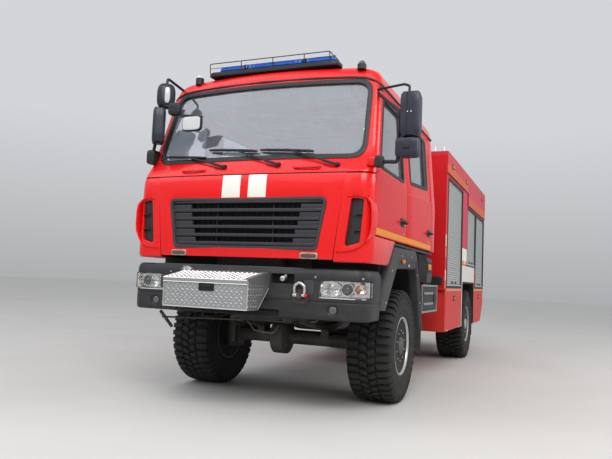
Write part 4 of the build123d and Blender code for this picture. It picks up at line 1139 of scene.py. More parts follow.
def buildWheels():
    tyre = tyreShape()
    for place in ("front", "rear"):
        rim = rimShape(place == "front")
        disc, ring = (hubGrey, steelShackle) if place == "front" else (rimGrey, rimGrey)
        for side, s in sides:
            centre = (s * wheelSizes["x"], wheelSizes[place], wheelSizes["z"])
            node, end = f"wheel_{place}_{side}", f"{place}_{side}"
            piece = makeObject(f"tyre_{end}_tread", moved(tyre, centre, s < 0), tyreRubber, smoothAngle=30)
            ride(piece, node, "tyre_rubber", f"tyre_{end}")
            piece = makeObject(f"rim_{end}_disc", moved(rim, centre, s < 0),
                    [disc, ring, hubGrey, steel, shadeAndDialBlack])
            ride(piece, node, "rim_grey", f"rim_{end}")


# Bumper, lamps, tool box and towing parts

bumperSizes = {
    "low": 0.885, "high": 1.34, "wrap": 0.4, "half": 1.25, "wall": 0.045, "inside": 0.085, "bendFrom": 1.05,
    "lamp": (0.8, 1.238, 1.082, 1.238), "fogX": 0.932, "fogZ": 0.975, "fogHalf": (0.054, 0.05),
    # the lamp's cells: x, lift over the middle, radius
    "cells": [(0.848, 0, 0.046), (0.952, 0.0, 0.05), (1.059, 0.003, 0.05), (1.163, 0.004, 0.044)],
    "towHole": (0.33, 0.56, 1.195, 1.28), "plateHole": (-0.7, 0.42, 0.88, 0.955),
    # height, inset of the outline
    "rings": [(0.885, 0.03), (0.892, 0.014), (0.915, 0.006), (1.035, 0.003), (1.041, 0.01), (1.047, 0.01),
              (1.053, 0.003), (1.25, 0.0), (1.268, 0.0), (1.3, 0.006), (1.326, 0.018), (1.338, 0.034),
              (1.34, 0.044)],
    "bolts": [(0.765, 1.262), (0.47, 1.262), (1.19, 1.262), (0.7, 0.93)]}


def bentCorner(x, y):
    # the bumper and its lamps curve back round the corners
    drop = 2.5 * max(0, abs(x) - bumperSizes["bendFrom"]) ** 2
    return y + drop * max(0, 1 - max(y, 0) / bumperSizes["wrap"])


def bentShape(shape):
    shape["points"] = [(x, bentCorner(x, y), z) for x, y, z in shape["points"]]
    return shape


def bumperPlan(inset):
    b = bumperSizes
    half, deep = b["half"] - inset, b["wrap"]
    outer = [(-half, deep, 0), (-half, inset - 0.012, 0), (-0.9, inset - 0.004, 0), (0.9, inset - 0.004, 0),
             (half, inset - 0.012, 0), (half, deep, 0)]
    x, y = half - b["wall"], b["inside"]
    inner = [(x, deep, 0), (x, y, 0), (-x, y, 0), (-x, deep, 0)]
    return [(p.x, p.y) for p in rounded(outer, 0.1, 6) + rounded(inner, 0.03, 3)]


def buildBumper():
    b = bumperSizes
    shape = newShape()
    addLoft(shape, [[(x, y, z) for x, y in bumperPlan(inset)] for z, inset in b["rings"]])
    base = makeObject("bumperBase", shape, [])
    spares.append(base)
    base.hide_render = True
    x0, x1, z0, z1 = b["lamp"]
    cuts = [cutter(rectangle(*b["towHole"]), "y", -0.1, 0.075),
            cutter(rectangle(*b["plateHole"]), "y", -0.1, 0.03)]
    across, upright = b["fogHalf"]
    for s in (1, -1):
        lamp = [(s * x0, z0), (s * (x1 + 0.05), z0 + 0.006), (s * (x1 + 0.05), z1), (s * (x0 + 0.012), z1)]
        cuts.append(cutter(roundedOutline(lamp, 0.022), "y", -0.1, 0.068))
        ring = [(s * b["fogX"] + across * cos(tau * k / 28), b["fogZ"] + upright * sin(tau * k / 28))
                for k in range(28)]
        cuts.append(cutter(ring, "y", -0.1, 0.055))
    bumper = carve("bumperShell", base, anthracite, takeAway=cuts, bevel=0.004)
    for corner in bumper.data.vertices:
        corner.co.y = bentCorner(corner.co.x - faceX, corner.co.y - faceY) + faceY
    ride(bumper, "chassis", "black_plastic", "front_bumper")
    trim = newShape()
    for s in (1, -1):
        for x, z in b["bolts"]:
            addBolt(trim, (s * x, 0.006 if z > 1 else 0.014, z), "-y", 0.011, 0.012, 0)
        addPillow(trim, (s * 0.93 - 0.075, -0.004, 0.902), (s * 0.93 + 0.075, 0.02, 0.915), 1, 6)
    addPillow(trim, (-0.965, 0.008, 1.3), (0.64, 0.05, 1.342), 2, 14)
    for x in (-0.83, 0.7):
        addPillow(trim, (x - 0.05, -0.006, 1.1), (x + 0.05, 0.02, 1.235), 2, 12)
    # a near-black filler in the tow hole: painted shade
    addBox(trim, (0.335, 0.05, 1.2), (0.555, 0.07, 1.275), 3)
    addTurned(trim, (0.44, 0.05, 1.237), "y", [(0.0, 0.026), (-0.05, 0.024), (-0.055, 0.014)], 4, 24)
    # a near-black filler in the plate hole: painted shade
    addPillow(trim, (-0.66, 0.02, 0.89), (0.4, 0.05, 0.95), 3, 10)
    paints = [steel, blackPlastic, fenderPlastic, shadeAndDialBlack, steelShackle]
    fitted("bumperTrim", bentShape(trim), paints, "black_plastic")


def lampShape():
    b = bumperSizes
    x0, x1, z0, z1 = b["lamp"]
    middle = (z0 + z1) / 2
    shape = newShape()
    plate = [(x0, z0), (x1 + 0.01, z0 + 0.006), (x1 + 0.01, z1), (x0 + 0.012, z1)]
    plate = roundedOutline(plate, 0.022)
    addPrism(shape, grownOutline(plate, -0.001), "y", 0.052, 0.067)
    for k, (x, lift, radius) in enumerate(b["cells"]):
        bowl = [(0.06, 0.01), (0.056, 0.022), (0.044, 0.036), (0.022, radius - 0.003), (0.018, radius),
                (0.018, radius + 0.006), (0.03, radius + 0.006), (0.062, 0.02)]
        addTurned(shape, (x, 0, middle + lift), "y", bowl, 0, 36)
        if k == 2:                      # the dipped beam has a lens in a black ring
            cell = (x, 0, middle + 0.003)
            addTurned(shape, cell, "y", [(0.058, 0.032), (0.02, 0.034), (0.016, 0.03)], 3, 32)
            addTurned(shape, cell, "y", [(0.018, 0.029), (0.01, 0.024), (0.005, 0.014), (0.003, 0)], 4, 32)
        else:
            bulb = [(0.058, 0.009), (0.03, 0.009), (0.024, 0.006), (0.022, 0)]
            addTurned(shape, (x, 0, middle + 0.002), "y", bulb, 5 if k == 3 else 4, 20)
    addPillow(shape, (1.188, 0.008, middle + 0.006), (1.214, 0.034, middle + 0.034), 5, 3)
    addFrame(shape, plate, "y", -0.001, 0.01, -0.006, 0.002, 6)
    addPillow(shape, (x0 + 0.006, -0.004, z0 - 0.004), (x1 - 0.02, 0.012, z0 + 0.005), 2, 10)
    return shape


def buildLamps():
    b = bumperSizes
    fog = newShape()
    centre = (b["fogX"], 0, b["fogZ"])
    housing = [(0.05, 0.052), (0.004, 0.053), (0.0, 0.05), (0.006, 0.04), (0.012, 0.038)]
    addTurned(fog, centre, "y", housing, 3, 32)
    addTurned(fog, centre, "y", [(0.02, 0.037), (0.01, 0.036), (0.004, 0.026), (0.001, 0.0)], 7, 32)
    paints = [chrome, lampFrame, whiteLens, blackPlastic, clearGlass, amberLens, fenderPlastic, fogLens]
    bothSides("headlamps", bentShape(joinShapes(lampShape(), fog)), paints, "clear_glass", "lamps")
    cover = newShape()
    x0, x1, z0, z1 = b["lamp"]
    rows = []
    for z, y in ((z0 + 0.001, 0.004), (z0 + 0.02, 0.0), ((z0 + z1) / 2, -0.003), (z1 - 0.02, 0.0),
            (z1 - 0.001, 0.004)):
        front = [(x0 + 0.003, y, z), ((x0 + x1) / 2, y - 0.002, z), (x1 - 0.06, y, z),
                 (x1 - 0.01, y + 0.012, z)]
        rows.append(front + [(x, yy + 0.003, zz) for x, yy, zz in front[::-1]])
    addLoft(cover, rows)
    bothSides("lampCovers", bentShape(cover), clearGlass, "clear_glass")
    rear = newShape()
    for z0, z1, mat in ((1.012, 1.046, 1), (1.048, 1.082, 0), (1.084, 1.118, 2)):
        addPillow(rear, (1.012, 8.2, z0), (1.208, 8.236, z1), mat, 10)
    addPrism(rear, rectangle(1.005, 1.215, 1.005, 1.125), "y", 8.198, 8.214, 3)
    bothSides("rearLamps", rear, [redLens, amberLens, whiteLens, blackPlastic], "black_plastic")


def lozenges(across, along, columns, rows, size=0.018, height=0.0026):
    # tread plate: raised lozenges that lie crosswise by turns, given on a flat sheet from (0, 0)
    whole = newShape()
    for turn, phase in ((0.6, 0.0), (-0.6, 0.5)):
        unit = newShape()
        c, s = cos(turn), sin(turn)
        near, wide = size * 0.45, size * 0.27
        flat = [(size, 0), (near, wide), (-near, wide), (-size, 0), (-near, -wide), (near, -wide)]
        ring = [(x * c - y * s, x * s + y * c, -0.0004) for x, y in flat]
        top = [(x * 0.72, y * 0.5, height) for x, y, z in ring]
        addGrid(unit, [ring, top], closeRows=True)
        addFaces(unit, top, [tuple(range(6))])
        # the lozenges take the lighter tread material: a painted highlight on their tops
        line = repeatShape(unit, columns, shift=(across, 0, 0), material=treadRidgeHighlight)
        sheet = repeatShape(line, rows, shift=(0, along, 0), material=treadRidgeHighlight)
        whole = joinShapes(whole, moved(sheet, (phase * across, phase * along, 0)))
    return whole


def onSheet(shape, corner, u, v):
    u, v = Vector(u).normalized(), Vector(v).normalized()
    n, corner = u.cross(v), Vector(corner)
    return {**shape, "points": [tuple(corner + u * x + v * y + n * z) for x, y, z in shape["points"]]}


toolBoxSizes = {
    "left": 0.309, "right": -0.549, "face": -0.409, "low": 0.953, "lidSlope": (0, 0.395, 0.0775),
    # the tread's pitch, columns, rows, lozenge size and height, and its first corner
    "lidTread": (0.048, 0.048, 17, 7, 0.021, 0.0042), "lidCorner": (-0.53, -0.402, 1.215),
    "frontTread": (0.05, 0.05, 16, 4, 0.017, 0.0018), "frontCorner": (-0.52, -0.41, 0.98),
    "sideTreads": [(4, 0.985), (6, 1.085)],      # columns and height of the two pieces on the left end
    "hinges": (-0.42, 0.18),
    "latch": {"plate": ((-0.178, -0.418, 1.1), (-0.022, -0.404, 1.172), 1, 10),
              # hollow: a near-black pad inside the latch plate, painted shade in its recess
              "hollow": ((-0.17, -0.4215, 1.106), (-0.03, -0.41, 1.166), 2, 10),
              "handle": ((-0.15, -0.425, 1.14), (-0.05, -0.415, 1.154), 1, 8)}}


def buildToolBox():
    t = toolBoxSizes
    lid = onSheet(lozenges(*t["lidTread"]), t["lidCorner"], (1, 0, 0), t["lidSlope"])
    edge = newShape()
    addTube(edge, [(-0.55, -0.42, 1.207), (0.31, -0.42, 1.207)], 0.0065, 0, 8)
    addTube(edge, [(-0.55, -0.421, 1.172), (0.31, -0.421, 1.172)], 0.004, 0, 8)
    for x in t["hinges"]:
        addPillow(edge, (x - 0.05, -0.06, 1.2795), (x + 0.05, -0.022, 1.2885), 1, 8)
        for k in (-0.035, 0.035):
            addBolt(edge, (x + k, -0.052, 1.285), "z", 0.006, 0.004, 1)
    shape = joinShapes(lid, edge)
    fitted("toolBoxLidTread", shape, [treadRidgeHighlight, hubGrey], "checker_plate", body="tool_box_lid")
    # the lozenges on the front and the left end take the lighter shackle steel against the box's tread
    # plate: a painted highlight on their tops
    front = onSheet(lozenges(*t["frontTread"]), t["frontCorner"], (1, 0, 0), (0, 0, 1))
    side = [onSheet(lozenges(0.05, 0.05, columns, 2, 0.017, 0.0022), (0.31, -0.385, z), (0, 1, 0), (0, 0, 1))
            for columns, z in t["sideTreads"]]
    body = newShape()
    y, z = t["face"], t["low"]
    for x in (t["right"], t["left"]):
        edge = [(x, y, 1.196), (x, y, z), (x, -0.204, z), (x, -0.004, 1.14)]
        addTube(body, rounded(edge, 0.02), 0.005, 0, 8)
    addTube(body, [(t["right"], y, z), (t["left"], y, z)], 0.005, 0, 8)
    addPads(body, t["latch"])
    for x in (-0.47, 0.23):
        for z in (0.985, 1.14):
            addBolt(body, (x, -0.41, z), "-y", 0.006, 0.006, 3)
    paints = [steelShackle, blackPlastic, shadeAndDialBlack, steel]
    fitted("toolBoxTrim", joinShapes(front, *side, body), paints, "checker_plate")


towSizes = {
    "x": 0.628, "z": 1.095, "bowRadius": 0.0135,
    # the shackle's left half from its pin to its top: x from the middle, y, height over the pin
    "bow": [(0.042, -0.03, 0), (0.05, -0.034, 0.045), (0.046, -0.036, 0.085)],
    "bowTop": (-0.038, 0.116),
    # the round cap on the bumper and the wire guard round it
    "cap": (-0.56, -0.015, 1.262), "wire": 0.0025, "guardRings": (0.03, 0.056),
    "guardArms": (0.4, 1.97, 3.54, 5.11)}

# black braces and the long thin rods under the bumper
rodPipes = {
    "rightDrop": (0.016, 0, 10, 0, [(-0.93, 0.1, 0.86), (-0.93, 0.3, 0.7)]),
    "longRod": (0.009, 0, 8, 0.1, [(-0.95, 0.16, 0.8), (-0.4, 0.14, 0.822), (-0.02, 0.14, 0.832)]),
    "loop": (0.008, 0, 8, 0.05, [(0.02, 0.16, 0.83), (0.1, 0.16, 0.74), (0.3, 0.16, 0.72),
                                 (0.33, 0.2, 0.8)]),
    "hanger": (0.012, 0, 8, 0, [(-0.35, 0.2, 0.86), (-0.35, 0.2, 0.9)]),
    "leftBrace": (0.014, 0, 8, 0, [(0.6, 0.13, 0.9), (0.46, 0.35, 0.86)]),
    "rightBrace": (0.014, 0, 8, 0, [(-0.6, 0.13, 0.9), (-0.46, 0.35, 0.86)])}


def buildTowItems():
    t = towSizes
    x, z = t["x"], t["z"]
    shape = newShape()
    half = [(dx, y, z + dz) for dx, y, dz in t["bow"]]
    top = (x, t["bowTop"][0], z + t["bowTop"][1])
    bow = [(x - dx, y, h) for dx, y, h in half] + [top] + [(x + dx, y, h) for dx, y, h in half[::-1]]
    addTube(shape, rounded(bow, 0.03, 5), t["bowRadius"], 0, 14)
    addTurned(shape, (x, -0.03, z), "x", [(-0.062, 0.01), (-0.06, 0.0155), (0.05, 0.0155)], 0, 18)
    addTurned(shape, (x, -0.03, z), "x", [(0.05, 0.0175), (0.066, 0.0175), (0.07, 0.012)], 1, 18)
    addPrism(shape, rectangle(x - 0.022, x + 0.022, z - 0.028, z + 0.028), "y", -0.052, 0.004, 2)
    addPillow(shape, (x - 0.07, -0.01, z - 0.075), (x + 0.07, 0.008, z + 0.05), 2, 10)
    for dx in (-0.05, 0.05):
        addBolt(shape, (x + dx, -0.01, z - 0.05), "-y", 0.01, 0.01, 2)
    piece = makeObject("towShackleBow", shape, [steelShackle, pinRed, chassisBlack])
    ride(piece, "chassis", "shackle_steel", "tow_shackle")
    rods = newShape()
    addPipes(rods, rodPipes)
    cx, _, cz = t["cap"]
    addTurned(rods, t["cap"], "y", [(0.02, 0.06), (-0.02, 0.06), (-0.034, 0.05), (-0.04, 0.02)], 1, 32)
    for r in t["guardRings"]:
        ring = [(cx + r * cos(tau * k / 24), -0.066, cz + r * sin(tau * k / 24)) for k in range(24)]
        addTube(rods, ring, t["wire"], 2, 6, closed=True)
    for a in t["guardArms"]:
        arm = [(cx + r * cos(a), y, cz + r * sin(a))
               for r, y in ((0.012, -0.067), (0.062, -0.058), (0.066, 0.0))]
        addTube(rods, arm, t["wire"], 2, 6)
    fitted("frontRods", rods, [chassisBlack, steelShackle, steel], "chassis_black")


# Fenders, mirrors and light bar

fenderSizes = {
    # from front to rear: outer edge (y, z), inner edge (y, z)
    "stations": [((0.469, 0.978), (0.674, 0.975)), ((0.66, 1.262), (0.857, 1.162)),
                 ((0.872, 1.578), (1.06, 1.37)), ((0.895, 1.602), (1.08, 1.384)),
                 ((1.36, 1.608), (1.5, 1.396)), ((1.828, 1.614), (1.915, 1.406)),
                 ((1.852, 1.6), (1.932, 1.392)), ((2.081, 1.23), (2.04, 1.16)),
                 ((2.29, 0.69), (2.215, 0.69))],
    # the section across it: share of the way from the outer to the inner edge, x
    "section": [(0.0, 1.14), (0.0, 1.226), (0.05, 1.244), (0.16, 1.25), (0.52, 1.25), (0.58, 1.243),
                (0.94, 1.23), (1.0, 1.216), (1.0, 1.14)],
    "liner": (0.8, 1.142),
    "bolts": [(0.6, 1.05), (0.8, 1.36), (1.2, 1.52), (1.62, 1.53), (1.93, 1.34), (2.1, 1.02)],
    "stays": [(0.58, 1.04), (2.225, 0.86)]}


def buildFenders():
    f = fenderSizes
    shape = newShape()
    addLoft(shape, [[(x, oy + (iy - oy) * t, oz + (iz - oz) * t) for t, x in f["section"]]
            for (oy, oz), (iy, iz) in f["stations"]], 0)
    x0, x1 = f["liner"]
    addLoft(shape, [[(x0, y, z), (x1, y, z), (x1, y + 0.006, z + 0.012), (x0, y + 0.006, z + 0.012)]
            for _, (y, z) in f["stations"]], 1)
    for y, z in f["bolts"]:
        addBolt(shape, (1.249, y, z), "x", 0.007, 0.005, 2)
    addPillow(shape, (1.244, 1.195, 1.448), (1.264, 1.285, 1.486), 3, 8)
    addTurned(shape, (1.25, 1.5, 1.43), "x", [(-0.004, 0.014), (0.004, 0.012)], 4, 16)
    addPrism(shape, rectangle(2.215, 2.226, 0.42, 1.1), "x", 0.83, 1.245, 5)
    addBox(shape, (0.52, 0.5, 1.22), (1.2, 0.512, 1.62), 1)
    for y, z in f["stays"]:
        addTube(shape, [(0.435, y, z), (1.16, y, z)], 0.02, 6, 12)
    paints = [fenderPlastic, blackPlastic, steel, amberLens, whiteLens, flapRubber, chassisBlack]
    bothSides("frontFenders", shape, paints, "black_plastic", "front_arches", bevel=0.003)


def turnedPillow(shape, centre, size, angle, mat, power=8):
    part = newShape()
    addPillow(part, [-s / 2 for s in size], [s / 2 for s in size], mat, power)
    c, s = cos(angle), sin(angle)
    addFaces(shape, [(centre[0] + x * c - y * s, centre[1] + x * s + y * c, centre[2] + z)
            for x, y, z in part["points"]], part["faces"], mat)


# left: two housings on one post beside the front door
mirrorPads = {
    "mainHousing": ((1.484, -0.026, 2.49), (1.655, 0.11, 2.886), 0, 9),
    "mainRim": ((1.492, 0.104, 2.505), (1.648, 0.122, 2.872), 1, 10),
    "mainGlass": ((1.5, 0.112, 2.512), (1.64, 0.126, 2.865), 2, 12),
    "wideHousing": ((1.448, -0.026, 2.314), (1.652, 0.1, 2.484), 0, 7),
    "wideRim": ((1.456, 0.094, 2.324), (1.644, 0.112, 2.475), 1, 9),
    "wideGlass": ((1.463, 0.102, 2.33), (1.637, 0.116, 2.469), 2, 10),
    "clamp": ((1.52, -0.036, 2.38), (1.58, 0.0, 2.432), 1, 6),
    "footOnArm": ((1.25, 0.05, 2.248), (1.325, 0.134, 2.352), 1, 7),
    "footOnCab": ((1.17, 0.085, 2.268), (1.254, 0.21, 2.352), 3, 7),
    "rightFoot": ((-1.252, 0.12, 2.372), (-1.155, 0.25, 2.522), 1, 6)}
mirrorPost = (1.462, 0.055)
mirrorPipes = {
    "seam": (0.003, 1, 6, 0, [(1.547, -0.0275, 2.5), (1.547, -0.029, 2.7), (1.547, -0.0275, 2.875)]),
    "post": (0.017, 1, 12, 0.03, [(1.3, 0.095, 2.3), (*mirrorPost, 2.284), (*mirrorPost, 2.735),
                                  (1.142, 0.45, 3.04)]),
    "upperStay": (0.011, 1, 10, 0.02, [(1.142, 0.45, 3.072), (1.5, 0.052, 2.968), (1.548, 0.05, 2.95),
                                       (1.548, 0.05, 2.85)]),
    "wideArm": (0.014, 1, 10, 0, [(*mirrorPost, 2.4), (1.52, 0.055, 2.4)]),
    "mainArm": (0.014, 1, 10, 0, [(*mirrorPost, 2.7), (1.52, 0.055, 2.7)]),
    "rightPost": (0.017, 1, 12, 0, [(-1.228, 0.18, 2.4), (-1.215, 0.23, 2.66), (-1.185, 0.335, 3.15)]),
    "rightTop": (0.014, 1, 10, 0.03, [(-1.085, 0.49, 3.25), (-1.12, 0.235, 3.31), (-1.105, 0.195, 3.15)]),
    "rightMainArm": (0.016, 1, 10, 0, [(-1.205, 0.28, 2.79), (-1.12, 0.13, 2.79)]),
    "rightWideArm": (0.016, 1, 10, 0, [(-1.19, 0.32, 3.08), (-1.095, 0.19, 3.08)]),
    "kerbArm": (0.013, 1, 10, 0, [(-1.095, 0.15, 2.99), (-0.88, 0.08, 2.93)]),
    "kerbRod": (0.009, 1, 8, 0.03, [(-0.88, 0.075, 2.855), (-0.78, 0.072, 2.848), (-0.55, 0.072, 2.815)])}
# right: folded back in front of the pillar. centre, size, turn, material, power
foldTurn = radians(37)
mirrorFolded = {
    "mainHousing": ((-1.12, 0.13, 2.767), (0.13, 0.2, 0.375), foldTurn, 0, 8),
    "mainGlass": ((-1.172, 0.165, 2.767), (0.012, 0.185, 0.35), foldTurn, 2, 10),
    "wideHousing": ((-1.095, 0.19, 3.1), (0.19, 0.13, 0.27), foldTurn, 0, 3.2),
    "wideSticker": ((-1.052, 0.15, 3.1), (0.06, 0.02, 0.17), foldTurn, 5, 3),
    "kerbJoint": ((-0.888, 0.075, 2.915), (0.132, 0.088, 0.128), 0.2, 1, 5),
    "kerbHousing": ((-0.672, 0.076, 2.752), (0.228, 0.046, 0.158), 0.0, 1, 5),
    "kerbFace": ((-0.672, 0.056, 2.752), (0.204, 0.014, 0.134), 0.0, 5, 6)}


def buildMirrors():
    shape = newShape()
    addPads(shape, mirrorPads)
    addPipes(shape, mirrorPipes)
    for turned in mirrorFolded.values():
        turnedPillow(shape, *turned)
    for z in (2.4, 2.7):
        addTurned(shape, (*mirrorPost, z), "z", [(-0.022, 0.024), (0.022, 0.024)], 1, 20)
    for x in (1.553, 1.583):
        addTurned(shape, (x, -0.018, 2.7), "y", [(0.0, 0.006), (-0.012, 0.006), (-0.014, 0.003)], 4, 12)
    paints = [mirrorPlastic, blackPlastic, mirrorGlass, redPaint, steel, whiteLens]
    fitted("mirrorHeads", shape, paints, "black_plastic", "mirrors")


lightBarSizes = {
    "z": 3.408, "front": 0.412, "guard": 0.08, "wire": 0.005,
    "lenses": [(-0.61, -0.3), (-0.295, 0.37), (0.375, 0.7)], "joints": (-0.298, 0.372),
    "ribs": (30, -0.59, 0.0435), "posts": (-0.337, 0.028, 0.378, 0.65),
    "markers": [(0.97, 0.09, 3), (-0.87, 0.11, 4)], "markerFoot": (0.47, 3.29)}


def buildLightBar():
    b = lightBarSizes
    z, front, top = b["z"], b["front"], b["z"] + b["guard"]
    shape = newShape()
    addPillow(shape, (-0.735, 0.425, 3.352), (0.735, 0.595, z - 0.004), 0, 12)
    for x0, x1 in b["lenses"]:
        addPillow(shape, (x0, 0.43, z - 0.006), (x1, 0.59, z + 0.044), 1, 9)
    count, first, step = b["ribs"]
    for k in range(count):
        x = first + step * k
        addBox(shape, (x, 0.431, z + 0.006), (x + 0.004, 0.436, z + 0.036), 4)
    for x in b["joints"]:
        addPillow(shape, (x - 0.012, 0.426, z), (x + 0.012, 0.594, z + 0.047), 0, 8)
    guard = [(-0.715, 0.424, z - 0.02), (-0.715, front, top), (0.65, front, top), (0.745, 0.424, z - 0.03)]
    addTube(shape, rounded(guard, 0.02), b["wire"], 2, 8)
    for x in b["posts"]:
        addTube(shape, [(x, front, top), (x, 0.424, z - 0.02)], b["wire"], 2, 8)
    addTube(shape, [(-0.715, 0.416, z + 0.03), (0.72, 0.416, z + 0.03)], 0.003, 2, 6)
    y, base = b["markerFoot"]
    for x, rise, mat in b["markers"]:
        foot = rise - 0.04
        addTurned(shape, (x, y, base), "z", [(0.0, 0.044), (foot, 0.044), (foot + 0.004, 0.038)], 0, 28)
        dome = [(0.0, 0.037), (0.018, 0.034), (0.034, 0.022), (0.04, 0)]
        addTurned(shape, (x, y, base + foot), "z", dome, mat, 28)
    paints = [blackPlastic, blueLens, slatGrey, fogLens, whiteLens]
    fitted("lightBarLenses", shape, paints, "beacon_blue", "light_bar")


buildWheels()
print("wheels ready")
buildBumper()
buildLamps()
buildToolBox()
buildTowItems()
buildFenders()
buildMirrors()
buildLightBar()
print("front ready")


# Body: shutters, panels, reflectors, roof deck and skirt flaps

bodySizes = {
    "half": 1.25, "front": 3.7, "step": 5.79, "rear": 8.25, "bandRise": (2.642, 2.852), "topRail": 3.163,
    # columns: first y, last y, bottom, top; the one behind lies across the body
    "shutters": [(3.85, 5.25, 1.21, 2.8), (5.81, 6.9, 1.585, 2.61), (6.95, 8.17, 1.21, 2.6)],
    "backShutter": (-1.0, 0.62, 1.21, 2.6), "slat": 0.034, "slatWear": 0.0003,
    # a slat's section: x, height
    "slatSection": [(1.219, 0.000), (1.2305, 0.0015), (1.2345, 0.006), (1.2365, 0.015), (1.235, 0.026),
                    (1.2305, 0.0315), (1.219, 0.033)],
    "arch": [(5.292, 0.582), (5.34, 0.582), (5.34, 1.3), (6.72, 1.3), (6.72, 0.556), (6.766, 0.556),
             (6.766, 1.583), (5.292, 1.583)],
    "archLiner": [(5.342, 0.6), (5.342, 1.2), (5.44, 1.292), (6.62, 1.292), (6.718, 1.2), (6.718, 0.57)],
    "column": [(5.264, 1.6), (5.796, 1.6), (5.796, 2.6), (5.79, 2.845), (5.264, 2.845)],
    # reflecting tape on the front edge: bottom, top, material; then along the lockers
    "tapes": [(1.795, 1.965, 0), (1.64, 1.77, 1), (1.3, 1.46, 0), (1.2, 1.29, 1)],
    "longTapes": ((3.86, 5.24), (6.8, 8.14)), "markers": [(4.15, 2), (5.55, 2), (7.75, 3)],
    "rivets": (16, 3.8, 0.29)}


def shutterShape(y0, y1, z0, z1):
    # a roller shutter seen from the left: slats, bottom rail, lift bar, knobs and black guides
    middle, pitch = (y0 + y1) / 2, bodySizes["slat"]
    slat, shape = newShape(), newShape()
    addLoft(slat, [[(x, y, z0 + 0.055 + z) for x, z in bodySizes["slatSection"]]
            for y in (y0 + 0.02, middle, y1 - 0.02)])
    count = int((z1 - z0 - 0.05) / pitch)
    slats = repeatShape(slat, count, shift=(0, 0, pitch), wear=bodySizes["slatWear"], material=shutterGrey)
    shape = joinShapes(shape, slats)
    addPillow(shape, (1.216, y0 + 0.015, z0 + 0.004), (1.246, y1 - 0.015, z0 + 0.052), 1, 14)
    bar = [(1.24, y0 + 0.1), (1.262, y0 + 0.12), (1.262, y1 - 0.12), (1.24, y1 - 0.1)]
    addTube(shape, rounded([(x, y, z0 + 0.03) for x, y in bar], 0.015), 0.007, 1, 8)
    knob = [(-0.01, 0.016), (0.008, 0.015), (0.012, 0.008)]
    for y in (middle - 0.16, middle + 0.16):
        addTurned(shape, (1.245, y, z0 + 0.075), "x", knob, 3, 16)
    addFrame(shape, rectangle(y0, y1, z0, z1), "x", 1.226, 1.2545, -0.022, 0.012, 2)
    return shape


def buildShutters():
    side = joinShapes(*[shutterShape(*place) for place in bodySizes["shutters"]])
    back = shutterShape(*bodySizes["backShutter"])
    back["points"] = [(y, bodySizes["rear"] + x - bodySizes["half"], z) for x, y, z in back["points"]]
    piece = makeObject("shutterSlats", joinShapes(side, mirrorShape(side), back),
            [shutterGrey, steelShackle, rubber, blackPlastic])
    ride(piece, "chassis", "shutter_aluminium", "shutters")


def buildBodyPanels():
    b = bodySizes
    arch = newShape()
    addPrism(arch, b["arch"], "x", 1.249, 1.2565)
    edge = [(1.252, 5.336, 0.6), (1.252, 5.336, 1.304), (1.252, 6.724, 1.304), (1.252, 6.724, 0.57)]
    addTube(arch, rounded(edge, 0.03), 0.009, 1, 8)
    rows = []
    for y, z in b["archLiner"]:
        inner = y * 0.998 + 0.012
        rows.append([(0.76, y, z), (1.245, y, z), (1.245, inner, z - 0.01), (0.76, inner, z - 0.01)])
    addLoft(arch, rows, 2)
    bothSides("archSurround", arch, [archWhite, rubber, blackPlastic], "body_red", bevel=0.002)
    column = newShape()
    addPrism(column, b["column"], "x", 1.249, 1.2535)
    bothSides("columnPanel", column, pinkPaint, "body_red")
    tape = newShape()
    for z0, z1, mat in b["tapes"]:
        addPrism(tape, rectangle(3.712, 3.776, z0, z1), "x", 1.2495, 1.2513, mat)
    for k in range(3):
        y = 5.3 + 0.165 * k
        addPrism(tape, rectangle(y, y + 0.15, 1.615, 1.65), "x", 1.253, 1.2545, (k + 1) % 2)
    for y0, y1 in b["longTapes"]:
        addPrism(tape, rectangle(y0, y1, 1.158, 1.196), "x", 1.2495, 1.2512, 1)
    bothSides("reflectorTape", tape, [archWhite, tapeOrange], "body_red")
    front = newShape()
    for s in (1, -1):
        for x in (1.19, 1.06):
            addTube(front, [(s * x, 3.745, 3.12), (s * x, 3.745, 3.235)], 0.013, 1, 10)
        addPillow(front, (s * 1.12 - 0.1, 3.686, 1.24), (s * 1.12 + 0.1, 3.704, 1.36), 2, 10)
    for k in range(6):
        addPillow(front, (-0.62, 3.672, 1.35 + 0.21 * k), (0.62, 3.7, 1.47 + 0.21 * k), 0, 16)
    fitted("bodyFrontTrim", front, [bodyPaint, steelShackle, rubber], "body_red")


deckSizes = {
    "pitch": 0.07, "marginX": 0.09, "marginY": 0.1, "plate": 0.03, "lift": 0.003, "long": 0.02,
    "wide": 0.006}


def buildDeck():
    d = deckSizes
    low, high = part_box("body_roof")
    pitch, lift = d["pitch"], d["lift"]
    x0, y0 = low[0] - faceX + d["marginX"], low[1] - faceY + d["marginY"]
    unit = newShape()
    ring = [(d["long"], 0), (0, d["wide"]), (-d["long"], 0), (0, -d["wide"])]
    top = [(x * 0.6, y * 0.5, 0.003) for x, y in ring]
    addGrid(unit, [[(x, y, 0) for x, y in ring], top], closeRows=True)
    addFaces(unit, top, [(0, 1, 2, 3)])
    columns, lines = int((high[0] - low[0] - 0.2) / pitch), int((high[1] - low[1] - 0.2) / pitch)
    # the deck's lozenges take the lighter tread material against the darker plate: a painted highlight on
    # their tops
    line = repeatShape(unit, columns, shift=(pitch, 0, 0), material=treadRidgeHighlight)
    sheet = repeatShape(line, lines, shift=(0, pitch, 0), material=treadRidgeHighlight)
    sheet = moved(sheet, (x0, y0, high[2] + lift))
    addBox(sheet, (x0 - d["plate"], y0 - d["plate"], high[2] - 0.004),
           (-x0 + d["plate"], y0 + pitch * lines, high[2] + lift), 1)
    fitted("roofTread", sheet, [treadRidgeHighlight, treadPlate], "body_red")


